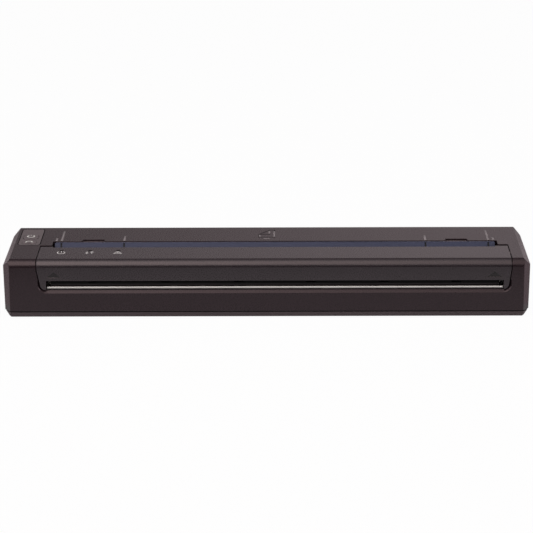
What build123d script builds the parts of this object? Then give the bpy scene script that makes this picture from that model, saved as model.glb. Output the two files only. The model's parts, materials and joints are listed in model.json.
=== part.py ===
"""A4 portable thermal printer, in millimetres.

+X runs to the right along the printer, +Y to the back and +Z up. The origin is on the surface
that the printer stands on, under the middle of its case. The paper path runs from the feed
opening in the top, down the feed guide, between the platen roller and the print head, and out
of the slot in the front. The cover carries the platen, so opening it frees the paper.
"""

import math
import os

from build123d import *

# ---- Driving dimensions ----------------------------------------------------------------------

# How solids meet: a cut runs past its piece, and a fused piece is sunk into its neighbour
past = 1.0
sunk = 0.1

# Case
left_block = 16.6
right_block = 9.4
depth = 55.0
height = 30.0
wall = 1.8
side_draft = 0.3
corner_cut_x = 3.3
corner_cut_y = 4.2
shoulder_set_in = 3.5
shoulder_drop = 3.6
nose_set_back = 2.8
nose_drop = 3.7
nose_bulge = 0.75
rear_round = 1.6
edge_soft = 0.5
rear_corner_soft = 2.0
foot_height = 0.8
foot_radius = 4.5
foot_seat = 0.5
foot_fit = 0.1
foot_chamfer = 0.3
tray_height = 3.2
tray_floor = 1.5
tray_slope = 3.2
tray_front_set_in = 1.4
groove_height = 0.45
groove_depth = 0.8
form_reach = 3.0
top_cut_reach = 3.0

# Paper path
guide_width = 217.2
guide_margin_left = 6.3
guide_margin_right = 5.5
feed_margin = 1.0
feed_gap = 10.1
slot_margin = 2.0
sill_below_nip = 3.95
sill_chamfer = 1.5
sill_rise = 4.0
ledge_end_gap = 0.2
ledge_depth = 6.0
ledge_thickness = 1.6
slot_above_nip = 1.05
large_sheet = 210.0
small_sheet = 148.0
guide_sheet = 1.2
guide_mouth_gap = 0.75
guide_mouth_drop = 0.8
guide_steep_run = 4.6
guide_steep_drop = 5.7
guide_bend = 7.0
guide_end_from_platen = 5.7
guide_end_rise = 0.5
groove_width = 0.8
notch_from_center = 89.75
notch_width = 11.7
notch_depth = 3.0
notch_slant = 0.8
notch_sink = 1.0
tear_bar_lift = 0.3
tear_bar_height = 1.3
tear_bar_thickness = 0.8
tear_bar_fit = 0.05
tear_bar_lip = 0.5
tear_bar_lip_height = 0.4
tear_bar_edge = 0.4
exit_guide_gap = 0.5
guide_base = 3.1
pad_rise = 0.5
pad_pitch = 35.2
pad_gap = 4.6
pad_set_in = 0.2
partition = 1.2

# Cover
cover_depth = 20.7
cover_gap = 0.45
cover_wall = 1.8
cover_end_wall = 1.3
cover_end_drop = 9.0
lobe_reach = 1.5
ear_width = 6.1
ear_reach = 1.3
ear_clearance = 2.4
split_bend_drop = 5.0
split_lean_left = 1.9
split_lean_right = 1.35
lobe_round = 2.6
hinge_drop = 3.1
hinge_set_in = 1.7
hinge_pin_radius = 1.1
hinge_bore_depth = 4.0
mark_from_end = 8.15
mark_width = 7.2
mark_height = 3.0
mark_above_slot = 1.6
mark_sink = 0.35
lamp_from_end = 10.9
lamp_pitch = 13.8
lamp_radius = 0.75
lamp_from_hinge = 3.5
lamp_set_in = 0.5
lamp_guide_length = 2.7
lamp_board = 0.8
lamp_board_drop = 3.2
lamp_board_end = 2.5
lamp_board_front = 0.9
lamp_half_depth = 0.6
lamp_post_radius = 0.9
lamp_post_from_hinge = 1.1
running_clearance = 0.05

# Platen and gears
platen_from_front = 11.0
platen_drop = 7.2
platen_radius = 4.3
sleeve_chamfer = 0.3
shaft_radius = 2.0
shaft_past_gear = 0.1
shaft_past_frame = 0.3
bushing_radius = 3.0
bushing_seat_clearance = 0.15
arm_thickness = 1.4
arm_radius = 4.2
frame_sheet = 0.8
frame_from_front = 3.2
frame_front_drop = 2.3
frame_front_slope = 3.3
frame_rise = 1.6
frame_step_from_hinge = 4.9
frame_step_run = 2.7
frame_rear_slope = 4.0
frame_rear_drop = 6.0
frame_slot_sweep = 80.0
stack_gap = 0.4
gear_gap = 0.3
gear_width = 1.4
gear_side_room = 0.2
gear_module = 0.5
pressure_angle = 20.0
gear_backlash = 0.12
gear_addendum = 0.45
gear_dedendum = 0.62
platen_teeth = 20
idler_teeth = 28
pinion_teeth = 12
idler_direction = -43.0
pinion_direction = 5.0
stud_radius = 1.5
stud_head_radius = 2.4
stud_head_thickness = 0.5
stud_head_gap = 0.2
idler_rim = 1.0
idler_hub = 0.6
idler_pocket = 0.7
motor_radius = 7.5
motor_length = 9.8
motor_flange = 0.8
motor_chamfer = 0.6
motor_ear_reach = 9.6
motor_ear_half = 2.2
motor_ear_round = 2.0
motor_shaft_seat = 6.0
motor_bore_spare = 0.6
motor_shaft_radius = 0.9
motor_hole_radius = 3.9
cheek = 1.5
cheek_above_board = 1.8

# Print head
strip_depth = 7.6
strip_thickness = 0.8
ridge_height = 0.15
ridge_half_width = 0.6
head_end_gap = 0.4
paper_gap = 0.3
sink_depth = 11.6
sink_thickness = 2.8
sink_before_platen = 4.7
pivot_radius = 1.0
pivot_lug_radius = 1.6
pivot_lug_width = 4.0
pivot_drop = 0.9
pivot_from_rear = 1.0
pivot_lug_front = 2.0
spring_radius = 1.6
spring_length = 2.8
spring_count = 4
spring_from_sink_front = 3.4
bracket_sheet = 1.0
bracket_post_half = 2.0
bracket_post_inset = 7.2
bracket_post_before_platen = 3.0
bracket_post_behind_platen = 10.5
bracket_behind_platen = 12.3
bracket_screw_radius = 0.9
bracket_screw_length = 3.5
bracket_screw_head_radius = 1.8
bracket_screw_head_height = 1.0
bracket_hole_spare = 0.5
head_cable_width = 52.0
head_cable_sheet = 0.3
head_cable_rise = 0.5
plug_behind_platen = 12.6
plug_overhang = 2.0
plug_height = 2.0
plug_depth = 3.5

# Electronics
board_z = 5.0
board_thickness = 1.2
board_post_half = 2.0
board_front_gap = 3.0
board_rear_gap = 3.0
board_end_gap = 6.0
board_right_gap = 2.8
board_wall_gap = 0.5
board_from_door_pin = 1.0
board_before_jack = 1.0
board_post_from_partition = 3.1
board_post_from_front = 7.5
board_post_behind_jack = 1.0
chips_behind_platen = 3.0
screw_radius = 1.1
screw_head_radius = 2.1
screw_head_height = 1.3
screw_length = 8.0
screw_fit = 0.2
screw_seat_rise = 0.3
screw_recess_depth = 0.6
screw_hole_spare = 0.7
boss_radius = 2.6
tray_post_margin = 0.6
screw_from_end = 7.5
screw_from_right_end = 4.3
screw_from_face = 7.5
screw_from_cover = 0.6
screw_from_rear = 6.0
foot_from_end = 15.5
foot_from_face = 8.5
usb_from_end = 20.5
usb_width = 7.8
usb_height = 4.0
usb_depth = 8.9
usb_shell = 0.4
usb_set_in = 0.6
usb_tongue_side_gap = 1.4
usb_tongue_set_in = 1.0
usb_tongue_thickness = 0.8
socket_cut = 4.0
jack_from_end = 8.9
jack_width = 9.0
jack_depth = 10.0
jack_rise = 5.3
jack_nose_radius = 4.0
jack_bore_radius = 2.9
jack_pin_radius = 0.9
jack_pin_set_in = 0.9
jack_nose_set_in = 0.2
jack_back_wall = 2.0
jack_fit = 0.2

# Keypad
keypad_from_end = 5.0
keypad_from_cover = 0.9
keypad_from_rear = 3.8
keypad_length = 26.2
keypad_corner = 1.6
keypad_thickness = 1.2
keypad_gap = 0.3
keypad_ledge = 1.0
power_key_from_rear = 12.9
power_key_width = 7.0
power_key_length = 8.0
feed_key_from_rear = 22.1
feed_key_width = 6.8
feed_key_length = 5.0
key_corner = 1.6
key_collar = 0.4
key_collar_thickness = 1.0
key_skirt = 0.6
key_chamfer = 0.25
key_off_center = 0.2
key_stem_radius = 1.2
key_rise = 0.4
key_travel = 0.4
key_clearance = 0.2
switch_board_drop = 5.4
switch_board_sheet = 1.0
switch_size = 4.4
switch_height = 2.0
switch_body_height = 1.4
hanger_radius = 1.3
hanger_before_keypad = 2.2
hanger_set_in = 0.2

# Battery bay
door_from_cover_left = 18.2
door_from_cover_right = 1.8
door_below_top = 5.0
door_thickness = 1.6
door_gap = 0.3
knuckle_radius = 1.9
knuckle_set_in = 1.3
knuckle_rise = 3.0
door_room = 1.4
door_boss_depth = 1.0
door_boss_rise = 0.7
door_boss_end = 0.7
door_pin_radius = 0.9
door_pin_length = 2.3
door_rib_pitch = 40.0
door_rib_width = 1.2
door_rib_depth = 1.0
door_first_rib = 32.0
door_rib_low_gap = 0.5
door_rib_top_gap = 1.2
bay_floor = 0.8
bay_end_wall = 1.0
bay_from_door = 0.8
battery_end_gap = 1.0
battery_height = 18.5
battery_corner = 4.0
contact_length = 3.0
contact_width = 2.0
contact_pitch = 4.5
part_clearance = 0.3

# Chips on the board: place from the paper's centre, width, depth and share of the free height
CHIPS = (
    (-77.0, 14.0, 14.0, 0.4),
    (-47.0, 9.0, 9.0, 0.3),
    (42.0, 12.0, 10.0, 0.6),
    (61.0, 6.0, 8.0, 0.8),
    (73.0, 6.0, 8.0, 0.8),
    (87.0, 6.0, 8.0, 0.35),
)

# ---- Places worked out from them -------------------------------------------------------------

length = left_block + guide_margin_left + guide_width + guide_margin_right + right_block
left_x = -length / 2
right_x = length / 2
front_y = -depth / 2
rear_y = depth / 2
cover_left = left_x + left_block
cover_right = right_x - right_block
parting_z = foot_height + tray_height
shoulder_z = height - shoulder_drop
nose_z = height - nose_drop
inner_top = height - wall
floor_top = foot_height + tray_floor
form_bottom = -wall - form_reach
top_cut_low = inner_top - top_cut_reach
screw_seat = floor_top + screw_seat_rise

guide_left = cover_left + guide_margin_left
guide_right = guide_left + guide_width
paper_center = (guide_left + guide_right) / 2
slot_left = guide_left - slot_margin
slot_right = guide_right + slot_margin
feed_left = guide_left - feed_margin
feed_right = guide_right + feed_margin

cover_rear_y = front_y + cover_depth
ear_rear_y = cover_rear_y + ear_reach
ear_slot_y = ear_rear_y + ear_clearance
feed_rear_y = cover_rear_y + feed_gap
open_left = cover_left - cover_gap
open_right = cover_right + cover_gap
hinge_y = cover_rear_y - hinge_set_in
hinge_z = height - hinge_drop

platen_y = front_y + platen_from_front
platen_z = height - platen_drop
nip_z = platen_z - platen_radius
sill_top = nip_z - sill_below_nip
slot_top = nip_z + slot_above_nip
lobe_bottom = sill_top + cover_gap

arm_left = guide_left - stack_gap - arm_thickness
arm_right = guide_right + stack_gap + arm_thickness
frame_left = arm_left - stack_gap - frame_sheet
frame_right = arm_right + stack_gap + frame_sheet
gear_right = frame_left - gear_gap
gear_left = gear_right - gear_width

strip_top = nip_z - paper_gap
sink_top = strip_top - strip_thickness
sink_bottom = sink_top - sink_thickness
bracket_top = sink_bottom - spring_length
bracket_z = bracket_top - bracket_sheet
pivot_z = sink_bottom - pivot_drop
sink_front_y = platen_y - sink_before_platen
sink_rear_y = sink_front_y + sink_depth
pivot_y = sink_rear_y - pivot_from_rear
board_top = board_z + board_thickness
cheek_low = board_top + cheek_above_board

partition_y = feed_rear_y + part_clearance
door_left = cover_left + door_from_cover_left
door_right = cover_right - door_from_cover_right
door_top = height - door_below_top
knuckle_y = rear_y - knuckle_set_in
knuckle_z = parting_z + knuckle_rise
bay_floor_top = parting_z + bay_floor
bay_left = door_left - door_gap - bay_from_door

keypad_left = left_x + keypad_from_end
keypad_right = cover_left - keypad_from_cover
keypad_rear = rear_y - keypad_from_rear
keypad_front = keypad_rear - keypad_length
key_x = (keypad_left + keypad_right) / 2 - key_off_center
power_key_y = keypad_rear - power_key_from_rear
feed_key_y = keypad_rear - feed_key_from_rear
power_key_size = (power_key_width, power_key_length)
feed_key_size = (feed_key_width, feed_key_length)

usb_left = left_x + usb_from_end
usb_right = usb_left + usb_width
jack_x = left_x + jack_from_end
jack_z = board_top + jack_rise
jack_rear = rear_y - wall - part_clearance
jack_front = jack_rear - jack_depth

CASE_SCREWS = (
    (left_x + screw_from_end, front_y + screw_from_face),
    (cover_left + screw_from_cover, rear_y - screw_from_rear),
    (right_x - screw_from_right_end, front_y + screw_from_face),
    (right_x - screw_from_right_end, rear_y - screw_from_face),
)
FEET = [
    (x, y)
    for x in (left_x + foot_from_end, right_x - foot_from_end)
    for y in (front_y + foot_from_face, rear_y - foot_from_face)
]
BRACKET_POSTS = [
    (x, y)
    for x in (guide_left + bracket_post_inset, guide_right - bracket_post_inset)
    for y in (platen_y - bracket_post_before_platen, platen_y + bracket_post_behind_platen)
]
LAMPS = [cover_left + lamp_from_end + number * lamp_pitch for number in range(3)]


# ---- Ways to make a solid --------------------------------------------------------------------

def block(x, y, z):
    """A box from its (low, high) along each axis."""
    low = Pos(x[0], y[0], z[0])
    return low * Box(x[1] - x[0], y[1] - y[0], z[1] - z[0], align=(Align.MIN, Align.MIN, Align.MIN))


def outline(*points):
    """A flat polygon, left where its points are."""
    return Polygon(*points, align=None)


def along_x(sketch, x0, x1):
    """A sketch of (Y, Z) places, carried from x0 to x1."""
    return extrude(Plane.YZ.offset(x0) * sketch, amount=x1 - x0, dir=(1, 0, 0))


def along_y(sketch, y0, y1):
    """A sketch of (X, Z) places, carried from y0 to y1."""
    return extrude(Plane.XZ.offset(-y0) * sketch, amount=y1 - y0, dir=(0, 1, 0))


def along_z(sketch, z0, z1):
    """A sketch of (X, Y) places, carried from z0 to z1."""
    return extrude(Plane.XY.offset(z0) * sketch, amount=z1 - z0, dir=(0, 0, 1))


def rod(radius, y, z, x0, x1):
    """A round bar along X."""
    return along_x(Pos(y, z) * Circle(radius), x0, x1)


def post(radius, x, y, z0, z1):
    """A round bar along Z."""
    return along_z(Pos(x, y) * Circle(radius), z0, z1)


def square_post(half, x, y, z0, z1):
    """A square bar along Z, from half its width."""
    return block((x - half, x + half), (y - half, y + half), (z0, z1))


def fused(pieces):
    """All the pieces as one shape."""
    pieces = list(pieces)
    return pieces[0].fuse(*pieces[1:]) if len(pieces) > 1 else pieces[0]


def polar(center, radius, degrees):
    """The place at a radius and an angle round a centre in the (Y, Z) plane."""
    turn = math.radians(degrees)
    return center[0] + radius * math.cos(turn), center[1] + radius * math.sin(turn)


# ---- The case's outside ----------------------------------------------------------------------

def drafted(half, z):
    """Half a width at height z: the case is widest at its shoulder and narrows downwards."""
    return half - side_draft * (shoulder_z - z) / (shoulder_z - parting_z)


def plan_outline():
    """The case from above, with its four corners cut off."""
    x, y = length / 2, depth / 2
    points = []
    for side_x, side_y in ((1, 1), (-1, 1), (-1, -1), (1, -1)):
        on_end = (side_x * x, side_y * (y - corner_cut_y))
        on_face = (side_x * (x - corner_cut_x), side_y * y)
        points += [on_end, on_face] if side_x * side_y > 0 else [on_face, on_end]
    sketch = outline(*points)
    at_front = sketch.vertices().filter_by(lambda corner: corner.Y < 0)
    sketch = fillet(at_front, edge_soft)
    at_rear = sketch.vertices().filter_by(lambda corner: corner.Y > 0)
    return fillet(at_rear, rear_corner_soft)


def front_outline():
    """The case from the front, with its two shoulders cut off."""
    half, below = length / 2, form_bottom
    shelf = half - shoulder_set_in
    sketch = outline(
        (drafted(half, below), below), (half, shoulder_z), (shelf, height),
        (-shelf, height), (-half, shoulder_z), (-drafted(half, below), below),
    )
    upper = sketch.vertices().filter_by(lambda corner: corner.Y > below + past)
    return fillet(upper, edge_soft)


def side_outline():
    """The case from the side, with a slightly bulging nose and a rounded rear edge."""
    half, below = depth / 2, form_bottom
    nose_top, nose_low = (-half + nose_set_back, height), (-half, nose_z)
    chord = math.hypot(nose_set_back, nose_drop)
    nose_mid = (
        (nose_top[0] + nose_low[0]) / 2 - nose_bulge * nose_drop / chord,
        (nose_top[1] + nose_low[1]) / 2 + nose_bulge * nose_set_back / chord,
    )
    rear_low, rear_top = (half, height - rear_round), (half - rear_round, height)
    rear_mid = polar((half - rear_round, height - rear_round), rear_round, 45)
    low = Polyline(nose_low, (-drafted(half, below), below), (drafted(half, below), below), rear_low)
    return make_face([
        *low.edges(), ThreePointArc(rear_low, rear_mid, rear_top), Line(rear_top, nose_top),
        ThreePointArc(nose_top, nose_mid, nose_low),
    ])


def case_form(inset=0.0):
    """The case's block: its three outlines cut one another, each set in by the inset."""
    def set_in(sketch):
        return offset(sketch, amount=-inset, kind=Kind.INTERSECTION) if inset else sketch
    from_above = along_z(set_in(plan_outline()), form_bottom, height)
    from_front = along_y(set_in(front_outline()), front_y, rear_y)
    from_side = along_x(set_in(side_outline()), -length / 2, length / 2)
    return from_above & from_front & from_side


def cover_front_outline(gap):
    """The cover's lower end from the front: its sides lean in and its corners are round."""
    left, right = cover_left - gap, cover_right + gap
    bend, low = height - split_bend_drop, lobe_bottom - gap
    sketch = outline(
        (left, height + past), (left, bend), (left + split_lean_left, low),
        (right - split_lean_right, low), (right, bend), (right, height + past),
    )
    lower = sketch.vertices().filter_by(lambda corner: corner.Y < low + sunk)
    return fillet(lower, lobe_round + gap)


def cover_zone(gap, rear):
    """The space that the cover takes, grown by a gap, back to a given place."""
    lobes_rear = front_y + wall + lobe_reach
    lobes = along_y(cover_front_outline(gap), front_y - past, lobes_rear)
    top = block(
        (cover_left - gap, cover_right + gap), (lobes_rear - sunk, rear),
        (lobe_bottom - gap, height + past),
    )
    return lobes + top


# ---- Housing and tray ------------------------------------------------------------------------

def sill_cut():
    """A 45 degree bevel along the slot's lower edge, which turns up round the cover's corners."""
    left = cover_left + split_lean_left - cover_gap
    right = cover_right - split_lean_right + cover_gap
    top = sill_top + sill_rise
    sketch = outline((left, sill_top), (right, sill_top), (right, top), (left, top))
    lower = sketch.vertices().filter_by(lambda corner: corner.Y < sill_top + sunk)
    sketch = fillet(lower, lobe_round + cover_gap)
    flare = Plane.XZ.offset(-(front_y + sill_chamfer)) * sketch
    return extrude(flare, amount=sill_chamfer + past, taper=-45)


def ear_relief():
    """Room round each ear, back to the housing's edge."""
    y, z = (cover_rear_y - past, ear_slot_y), (top_cut_low, height + past)
    return block((open_left, feed_left + sunk), y, z) + block((feed_right - sunk, open_right), y, z)


def edge_notches():
    """Two shallow notches with slanted ends in the feed opening's rear edge."""
    cuts = []
    for side in (-1, 1):
        middle, mouth = paper_center + side * notch_from_center, notch_width / 2
        end, deep = mouth - notch_slant, feed_rear_y + notch_depth
        sketch = outline(
            (middle - mouth, feed_rear_y - sunk), (middle + mouth, feed_rear_y - sunk),
            (middle + end, deep), (middle - end, deep),
        )
        cuts.append(along_z(sketch, height - notch_sink, height + past))
    return fused(cuts)


def keypad_zone(gap, z0, z1):
    """The keypad's rounded rectangle, grown by a gap."""
    width, reach = keypad_right - keypad_left + 2 * gap, keypad_rear - keypad_front + 2 * gap
    middle = Pos((keypad_left + keypad_right) / 2, (keypad_front + keypad_rear) / 2)
    return along_z(middle * RectangleRounded(width, reach, keypad_corner + gap), z0, z1)


def door_hinge_bosses():
    """Blocks at both ends of the battery opening that hold the door's pins."""
    pieces = []
    reach = knuckle_y - knuckle_radius - door_boss_depth
    top = knuckle_z + knuckle_radius + door_boss_rise
    left = (door_left - door_gap - door_pin_length - door_boss_end, door_left - door_gap)
    right = (door_right + door_gap, open_right + sunk)
    for x in (left, right):
        pieces.append(block(x, (reach, rear_y - wall / 2), (parting_z, top)))
    return fused(pieces)


def door_zone(gap):
    """The battery door's outline, grown by a gap."""
    flat = block(
        (door_left - gap, door_right + gap), (rear_y - wall - door_room, rear_y + past),
        (knuckle_z, door_top + gap),
    )
    round_part = rod(knuckle_radius + gap, knuckle_y, knuckle_z, door_left - gap, door_right + gap)
    below = block(
        (door_left - gap, door_right + gap), (knuckle_y, rear_y + past),
        (knuckle_z - knuckle_radius - gap, knuckle_z),
    )
    return flat + round_part + below


def motor_place():
    """Where the motor's shaft is, in (Y, Z)."""
    idler = idler_place()
    return polar(idler, gear_module * (idler_teeth + pinion_teeth) / 2, pinion_direction)


def idler_place():
    """Where the idler turns, in (Y, Z)."""
    return polar((platen_y, platen_z), gear_module * (platen_teeth + idler_teeth) / 2, idler_direction)


def make_main_housing():
    """The upper shell, with its cheeks, paper ledge, battery bay and screw bosses."""
    shell = case_form() & block((-length, length), (-depth, depth), (parting_z, height + past))
    shell -= case_form(wall)
    inside = case_form(wall / 2)
    walled = (partition_y, partition_y + partition)
    bay_end = bay_left - bay_end_wall
    ledge_x = (slot_left + ledge_end_gap, slot_right - ledge_end_gap)
    added = [
        block((open_left - cheek, open_left), (front_y, rear_y), (cheek_low, height)),
        block((open_right, open_right + cheek), (front_y, rear_y), (cheek_low, height)),
        block((bay_left - bay_end_wall / 2, open_right), walled, (bay_floor_top, height)),
        block((frame_left, bay_left), walled, (cheek_low, height)),
        block((bay_end, open_right), (partition_y, rear_y), (parting_z, bay_floor_top)),
        block((bay_end, bay_left), (partition_y, rear_y), (parting_z, height)),
        block(ledge_x, (front_y, front_y + ledge_depth), (sill_top - ledge_thickness, sill_top)),
        door_hinge_bosses(),
    ]
    added += [post(boss_radius, x, y, parting_z, height) for x, y in CASE_SCREWS]
    hanger_top = height - keypad_thickness - running_clearance
    for y in hanger_places():
        added.append(post(hanger_radius, key_x, y, height - switch_board_drop, hanger_top))
    solid = fused([shell] + [piece & inside for piece in added])
    for cut in housing_openings() + housing_bores():
        solid -= cut
    return solid


def housing_openings():
    """What is cut from the housing for the cover, the paper, the keypad and the battery door."""
    return [
        cover_zone(cover_gap, cover_rear_y),
        ear_relief(),
        block((feed_left, feed_right), (cover_rear_y - past, feed_rear_y), (top_cut_low, height + past)),
        block((open_left, open_right), (front_y + wall, ear_slot_y), (sill_top, height + past)),
        sill_cut(),
        edge_notches(),
        keypad_zone(keypad_gap, height - keypad_thickness, height + past),
        keypad_zone(-keypad_ledge, inner_top - past, height),
        door_zone(door_gap),
    ]


def housing_bores():
    """The housing's holes for screws, pins, the motor's shaft and the two sockets."""
    hole_top = floor_top + screw_length + screw_hole_spare
    cuts = [post(screw_radius, x, y, parting_z - past, hole_top) for x, y in CASE_SCREWS]
    door_bore = door_pin_radius + running_clearance
    bore_length = door_pin_length + part_clearance
    cuts.append(rod(door_bore, knuckle_y, knuckle_z, door_left - bore_length, door_left))
    cuts.append(rod(door_bore, knuckle_y, knuckle_z, door_right, door_right + bore_length))
    outer_left, outer_right = open_left - cheek - past, open_right + cheek + past
    cuts.append(rod(motor_hole_radius, *motor_place(), outer_left, open_left + past))
    cuts.append(rod(hinge_pin_radius, hinge_y, hinge_z, outer_left, outer_right))
    cuts.append(block(
        (usb_left - part_clearance, usb_right + part_clearance), (rear_y - socket_cut, rear_y + past),
        (board_top - part_clearance, board_top + usb_height + part_clearance),
    ))
    jack_hole = Pos(jack_x, jack_z) * Circle(jack_nose_radius + jack_fit)
    cuts.append(along_y(jack_hole, rear_y - socket_cut, rear_y + past))
    return cuts


def tray_form(inset=0.0):
    """The tray's block: flat on top, sloping in at its ends and set in below at front and back."""
    top_x, top_y = drafted(length / 2, parting_z) - inset, drafted(depth / 2, parting_z) - inset
    low = foot_height + inset * tray_floor / wall
    ends = outline(
        (-top_x, parting_z), (-top_x + tray_slope, low),
        (top_x - tray_slope, low), (top_x, parting_z),
    )
    sides = outline(
        (-top_y, parting_z), (-top_y + tray_front_set_in, low),
        (top_y - tray_front_set_in, low), (top_y, parting_z),
    )
    plan = offset(plan_outline(), amount=-side_draft - inset, kind=Kind.INTERSECTION)
    form = along_y(ends, front_y, rear_y) & along_x(sides, -length / 2, length / 2)
    return form & along_z(plan, foot_height, parting_z)


def make_base_tray():
    """The thin tray under the housing, with posts for the print bracket and the board."""
    tray = tray_form() - tray_form(wall)
    band = block((-length, length), (-depth, depth), (parting_z - groove_height, parting_z + past))
    rim = offset(plan_outline(), amount=-side_draft - groove_depth, kind=Kind.INTERSECTION)
    tray -= band - along_z(rim, 0, parting_z)
    low, boss_half = floor_top - sunk, boss_radius + tray_post_margin
    pieces = [tray]
    pieces += [square_post(boss_half, x, y, low, parting_z) for x, y in CASE_SCREWS]
    pieces += [square_post(bracket_post_half, x, y, low, bracket_z) for x, y in BRACKET_POSTS]
    pieces += [square_post(board_post_half, x, y, low, board_z) for x, y in board_posts()]
    above = block((-length / 2, length / 2), (front_y, rear_y), (floor_top, bracket_z))
    solid = fused(pieces) & (tray_form() + above)
    solid &= along_z(offset(plan_outline(), amount=-side_draft, kind=Kind.INTERSECTION), 0, height)
    for x, y in CASE_SCREWS:
        solid -= post(screw_head_radius + screw_fit, x, y, 0, screw_seat)
        solid -= post(screw_radius + screw_fit, x, y, 0, parting_z + past)
    hole_low = bracket_z - bracket_screw_length - bracket_hole_spare
    for x, y in BRACKET_POSTS:
        solid -= post(bracket_screw_radius, x, y, hole_low, bracket_z + past)
    for x, y in FEET:
        solid -= post(foot_radius + foot_fit, x, y, 0, foot_height + foot_seat)
    return solid


def make_rubber_feet():
    """Four soft pads let into the tray, which the printer stands on."""
    pads = []
    for x, y in FEET:
        pad = post(foot_radius, x, y, 0, foot_height + foot_seat)
        pads.append(chamfer(pad.edges().group_by(Axis.Z)[0], foot_chamfer))
    return Compound(children=pads)


def make_case_screws():
    """Four pan-head screws that hold the tray to the housing."""
    screws = []
    head_low = screw_seat - screw_head_height
    for x, y in CASE_SCREWS:
        head = post(screw_head_radius, x, y, head_low, screw_seat)
        recess = along_z(Pos(x, y) * RegularPolygon(screw_radius, 6), 0, head_low + screw_recess_depth)
        screws.append(head - recess + post(screw_radius, x, y, floor_top, floor_top + screw_length))
    return Compound(children=screws)


# ---- Paper path ------------------------------------------------------------------------------

def guide_line(lift=0.0):
    """The feed guide's middle line, steep at the mouth and shallow towards the nip."""
    mouth = (feed_rear_y - guide_mouth_gap - lift, height - guide_mouth_drop)
    knee = (mouth[0] - guide_steep_run, mouth[1] - guide_steep_drop + lift)
    nip_end = (platen_y + guide_end_from_platen, nip_z + guide_end_rise + lift)
    return FilletPolyline(mouth, knee, nip_end, radius=guide_bend)


def make_feed_guide():
    """The coloured guide to the platen, with a groove just outside each edge of both sheet sizes."""
    guide = along_x(trace(guide_line(), line_width=guide_sheet), guide_left, guide_right)
    groove = trace(guide_line(guide_sheet / 2), line_width=guide_sheet / 2)
    for sheet in (large_sheet, small_sheet):
        for side in (-1, 1):
            x = paper_center + side * (sheet + groove_width) / 2
            guide -= along_x(groove, x - groove_width / 2, x + groove_width / 2)
    return guide


def tear_bar_front():
    """Where the tear bar's front face stands: behind the lip of the guide that holds it."""
    return front_y + sill_chamfer + part_clearance + tear_bar_lip + tear_bar_fit


def make_tear_bar():
    """A steel strip with a sharpened top edge, standing in the exit guide's channel."""
    front, low = tear_bar_front(), sill_top + tear_bar_lift + tear_bar_fit
    rear, top = front + tear_bar_thickness, low + tear_bar_height
    section = outline(
        (front, low), (front, top - tear_bar_edge), (front + tear_bar_edge, top), (rear, top), (rear, low),
    )
    return along_x(section, slot_left + part_clearance, slot_right - part_clearance)


def make_exit_guide():
    """The black strip that the sheet slides out on, with a channel and a lip for the tear bar."""
    front = tear_bar_front() - tear_bar_fit - tear_bar_lip
    behind_bar = tear_bar_front() + tear_bar_thickness + tear_bar_fit
    rear, base_top = sink_front_y - exit_guide_gap, sill_top + guide_base
    ends = (slot_left + part_clearance, slot_right - part_clearance)
    base = block((guide_left, guide_right), (behind_bar, rear), (sill_top, base_top))
    floor = block(ends, (front, behind_bar + sunk), (sill_top, sill_top + tear_bar_lift))
    lip = block(ends, (front, front + tear_bar_lip), (sill_top, sill_top + tear_bar_lip_height))
    pads = []
    half_pad, pad_y = (pad_pitch - pad_gap) / 2, (behind_bar + sunk, rear - pad_set_in)
    beside_middle = math.ceil((guide_width - pad_pitch) / 2 / pad_pitch)
    for number in range(-beside_middle, beside_middle + 1):
        middle = paper_center + number * pad_pitch
        x = (max(guide_left, middle - half_pad), min(guide_right, middle + half_pad))
        pads.append(block(x, pad_y, (base_top - sunk, base_top + pad_rise)))
    return fused([base, floor, lip] + pads)


# ---- Print head and its frames ---------------------------------------------------------------

def make_side_frame(x0, x1):
    """A sheet-metal plate with a notch that the platen's bushing drops into."""
    front, rear, low = front_y + frame_from_front, partition_y - part_clearance, bracket_z
    top, step = platen_z + frame_rise, hinge_y - frame_step_from_hinge
    plate = outline(
        (front, low), (front, platen_z - frame_front_drop), (front + frame_front_slope, top),
        (step, top), (step + frame_step_run, platen_z - frame_rise),
        (rear - frame_rear_slope, platen_z - frame_rise), (rear, platen_z - frame_rear_drop), (rear, low),
    )
    seat = bushing_radius + bushing_seat_clearance
    hinge = (hinge_y, hinge_z)
    reach = math.hypot(platen_y - hinge_y, platen_z - hinge_z)
    start = math.degrees(math.atan2(platen_z - hinge_z, platen_y - hinge_y))
    turns = (start, start - frame_slot_sweep / 2, start - frame_slot_sweep)
    sector = outline(hinge, *(polar(hinge, depth, turn) for turn in turns))
    ring = Pos(*hinge) * (Circle(reach + seat) - Circle(reach - seat))
    plate = plate - Pos(platen_y, platen_z) * Circle(seat) - (ring & sector)
    plate -= Pos(pivot_y, pivot_z) * Circle(pivot_radius)
    return along_x(plate, x0, x1)


def make_left_side_frame():
    """The left plate, which also carries the idler's stud."""
    frame = make_side_frame(frame_left, frame_left + frame_sheet)
    return frame - rod(stud_radius, *idler_place(), frame_left - past, frame_left + past)


def make_right_side_frame():
    """The right plate."""
    return make_side_frame(frame_right - frame_sheet, frame_right)


def make_head_bracket():
    """The cross plate between the side frames, screwed to the tray's posts."""
    x = (frame_left + frame_sheet, frame_right - frame_sheet)
    y = (front_y + frame_from_front, platen_y + bracket_behind_platen)
    plate = block(x, y, (bracket_z, bracket_top))
    for x, y in BRACKET_POSTS:
        plate -= post(screw_radius, x, y, bracket_z - past, bracket_top + past)
    return plate


def make_bracket_screws():
    """Four screws through the cross plate."""
    screws = []
    for x, y in BRACKET_POSTS:
        head = post(bracket_screw_head_radius, x, y, bracket_top, bracket_top + bracket_screw_head_height)
        shank = post(bracket_screw_radius, x, y, bracket_z - bracket_screw_length, bracket_top + sunk)
        screws.append(head + shank)
    return Compound(children=screws)


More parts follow.
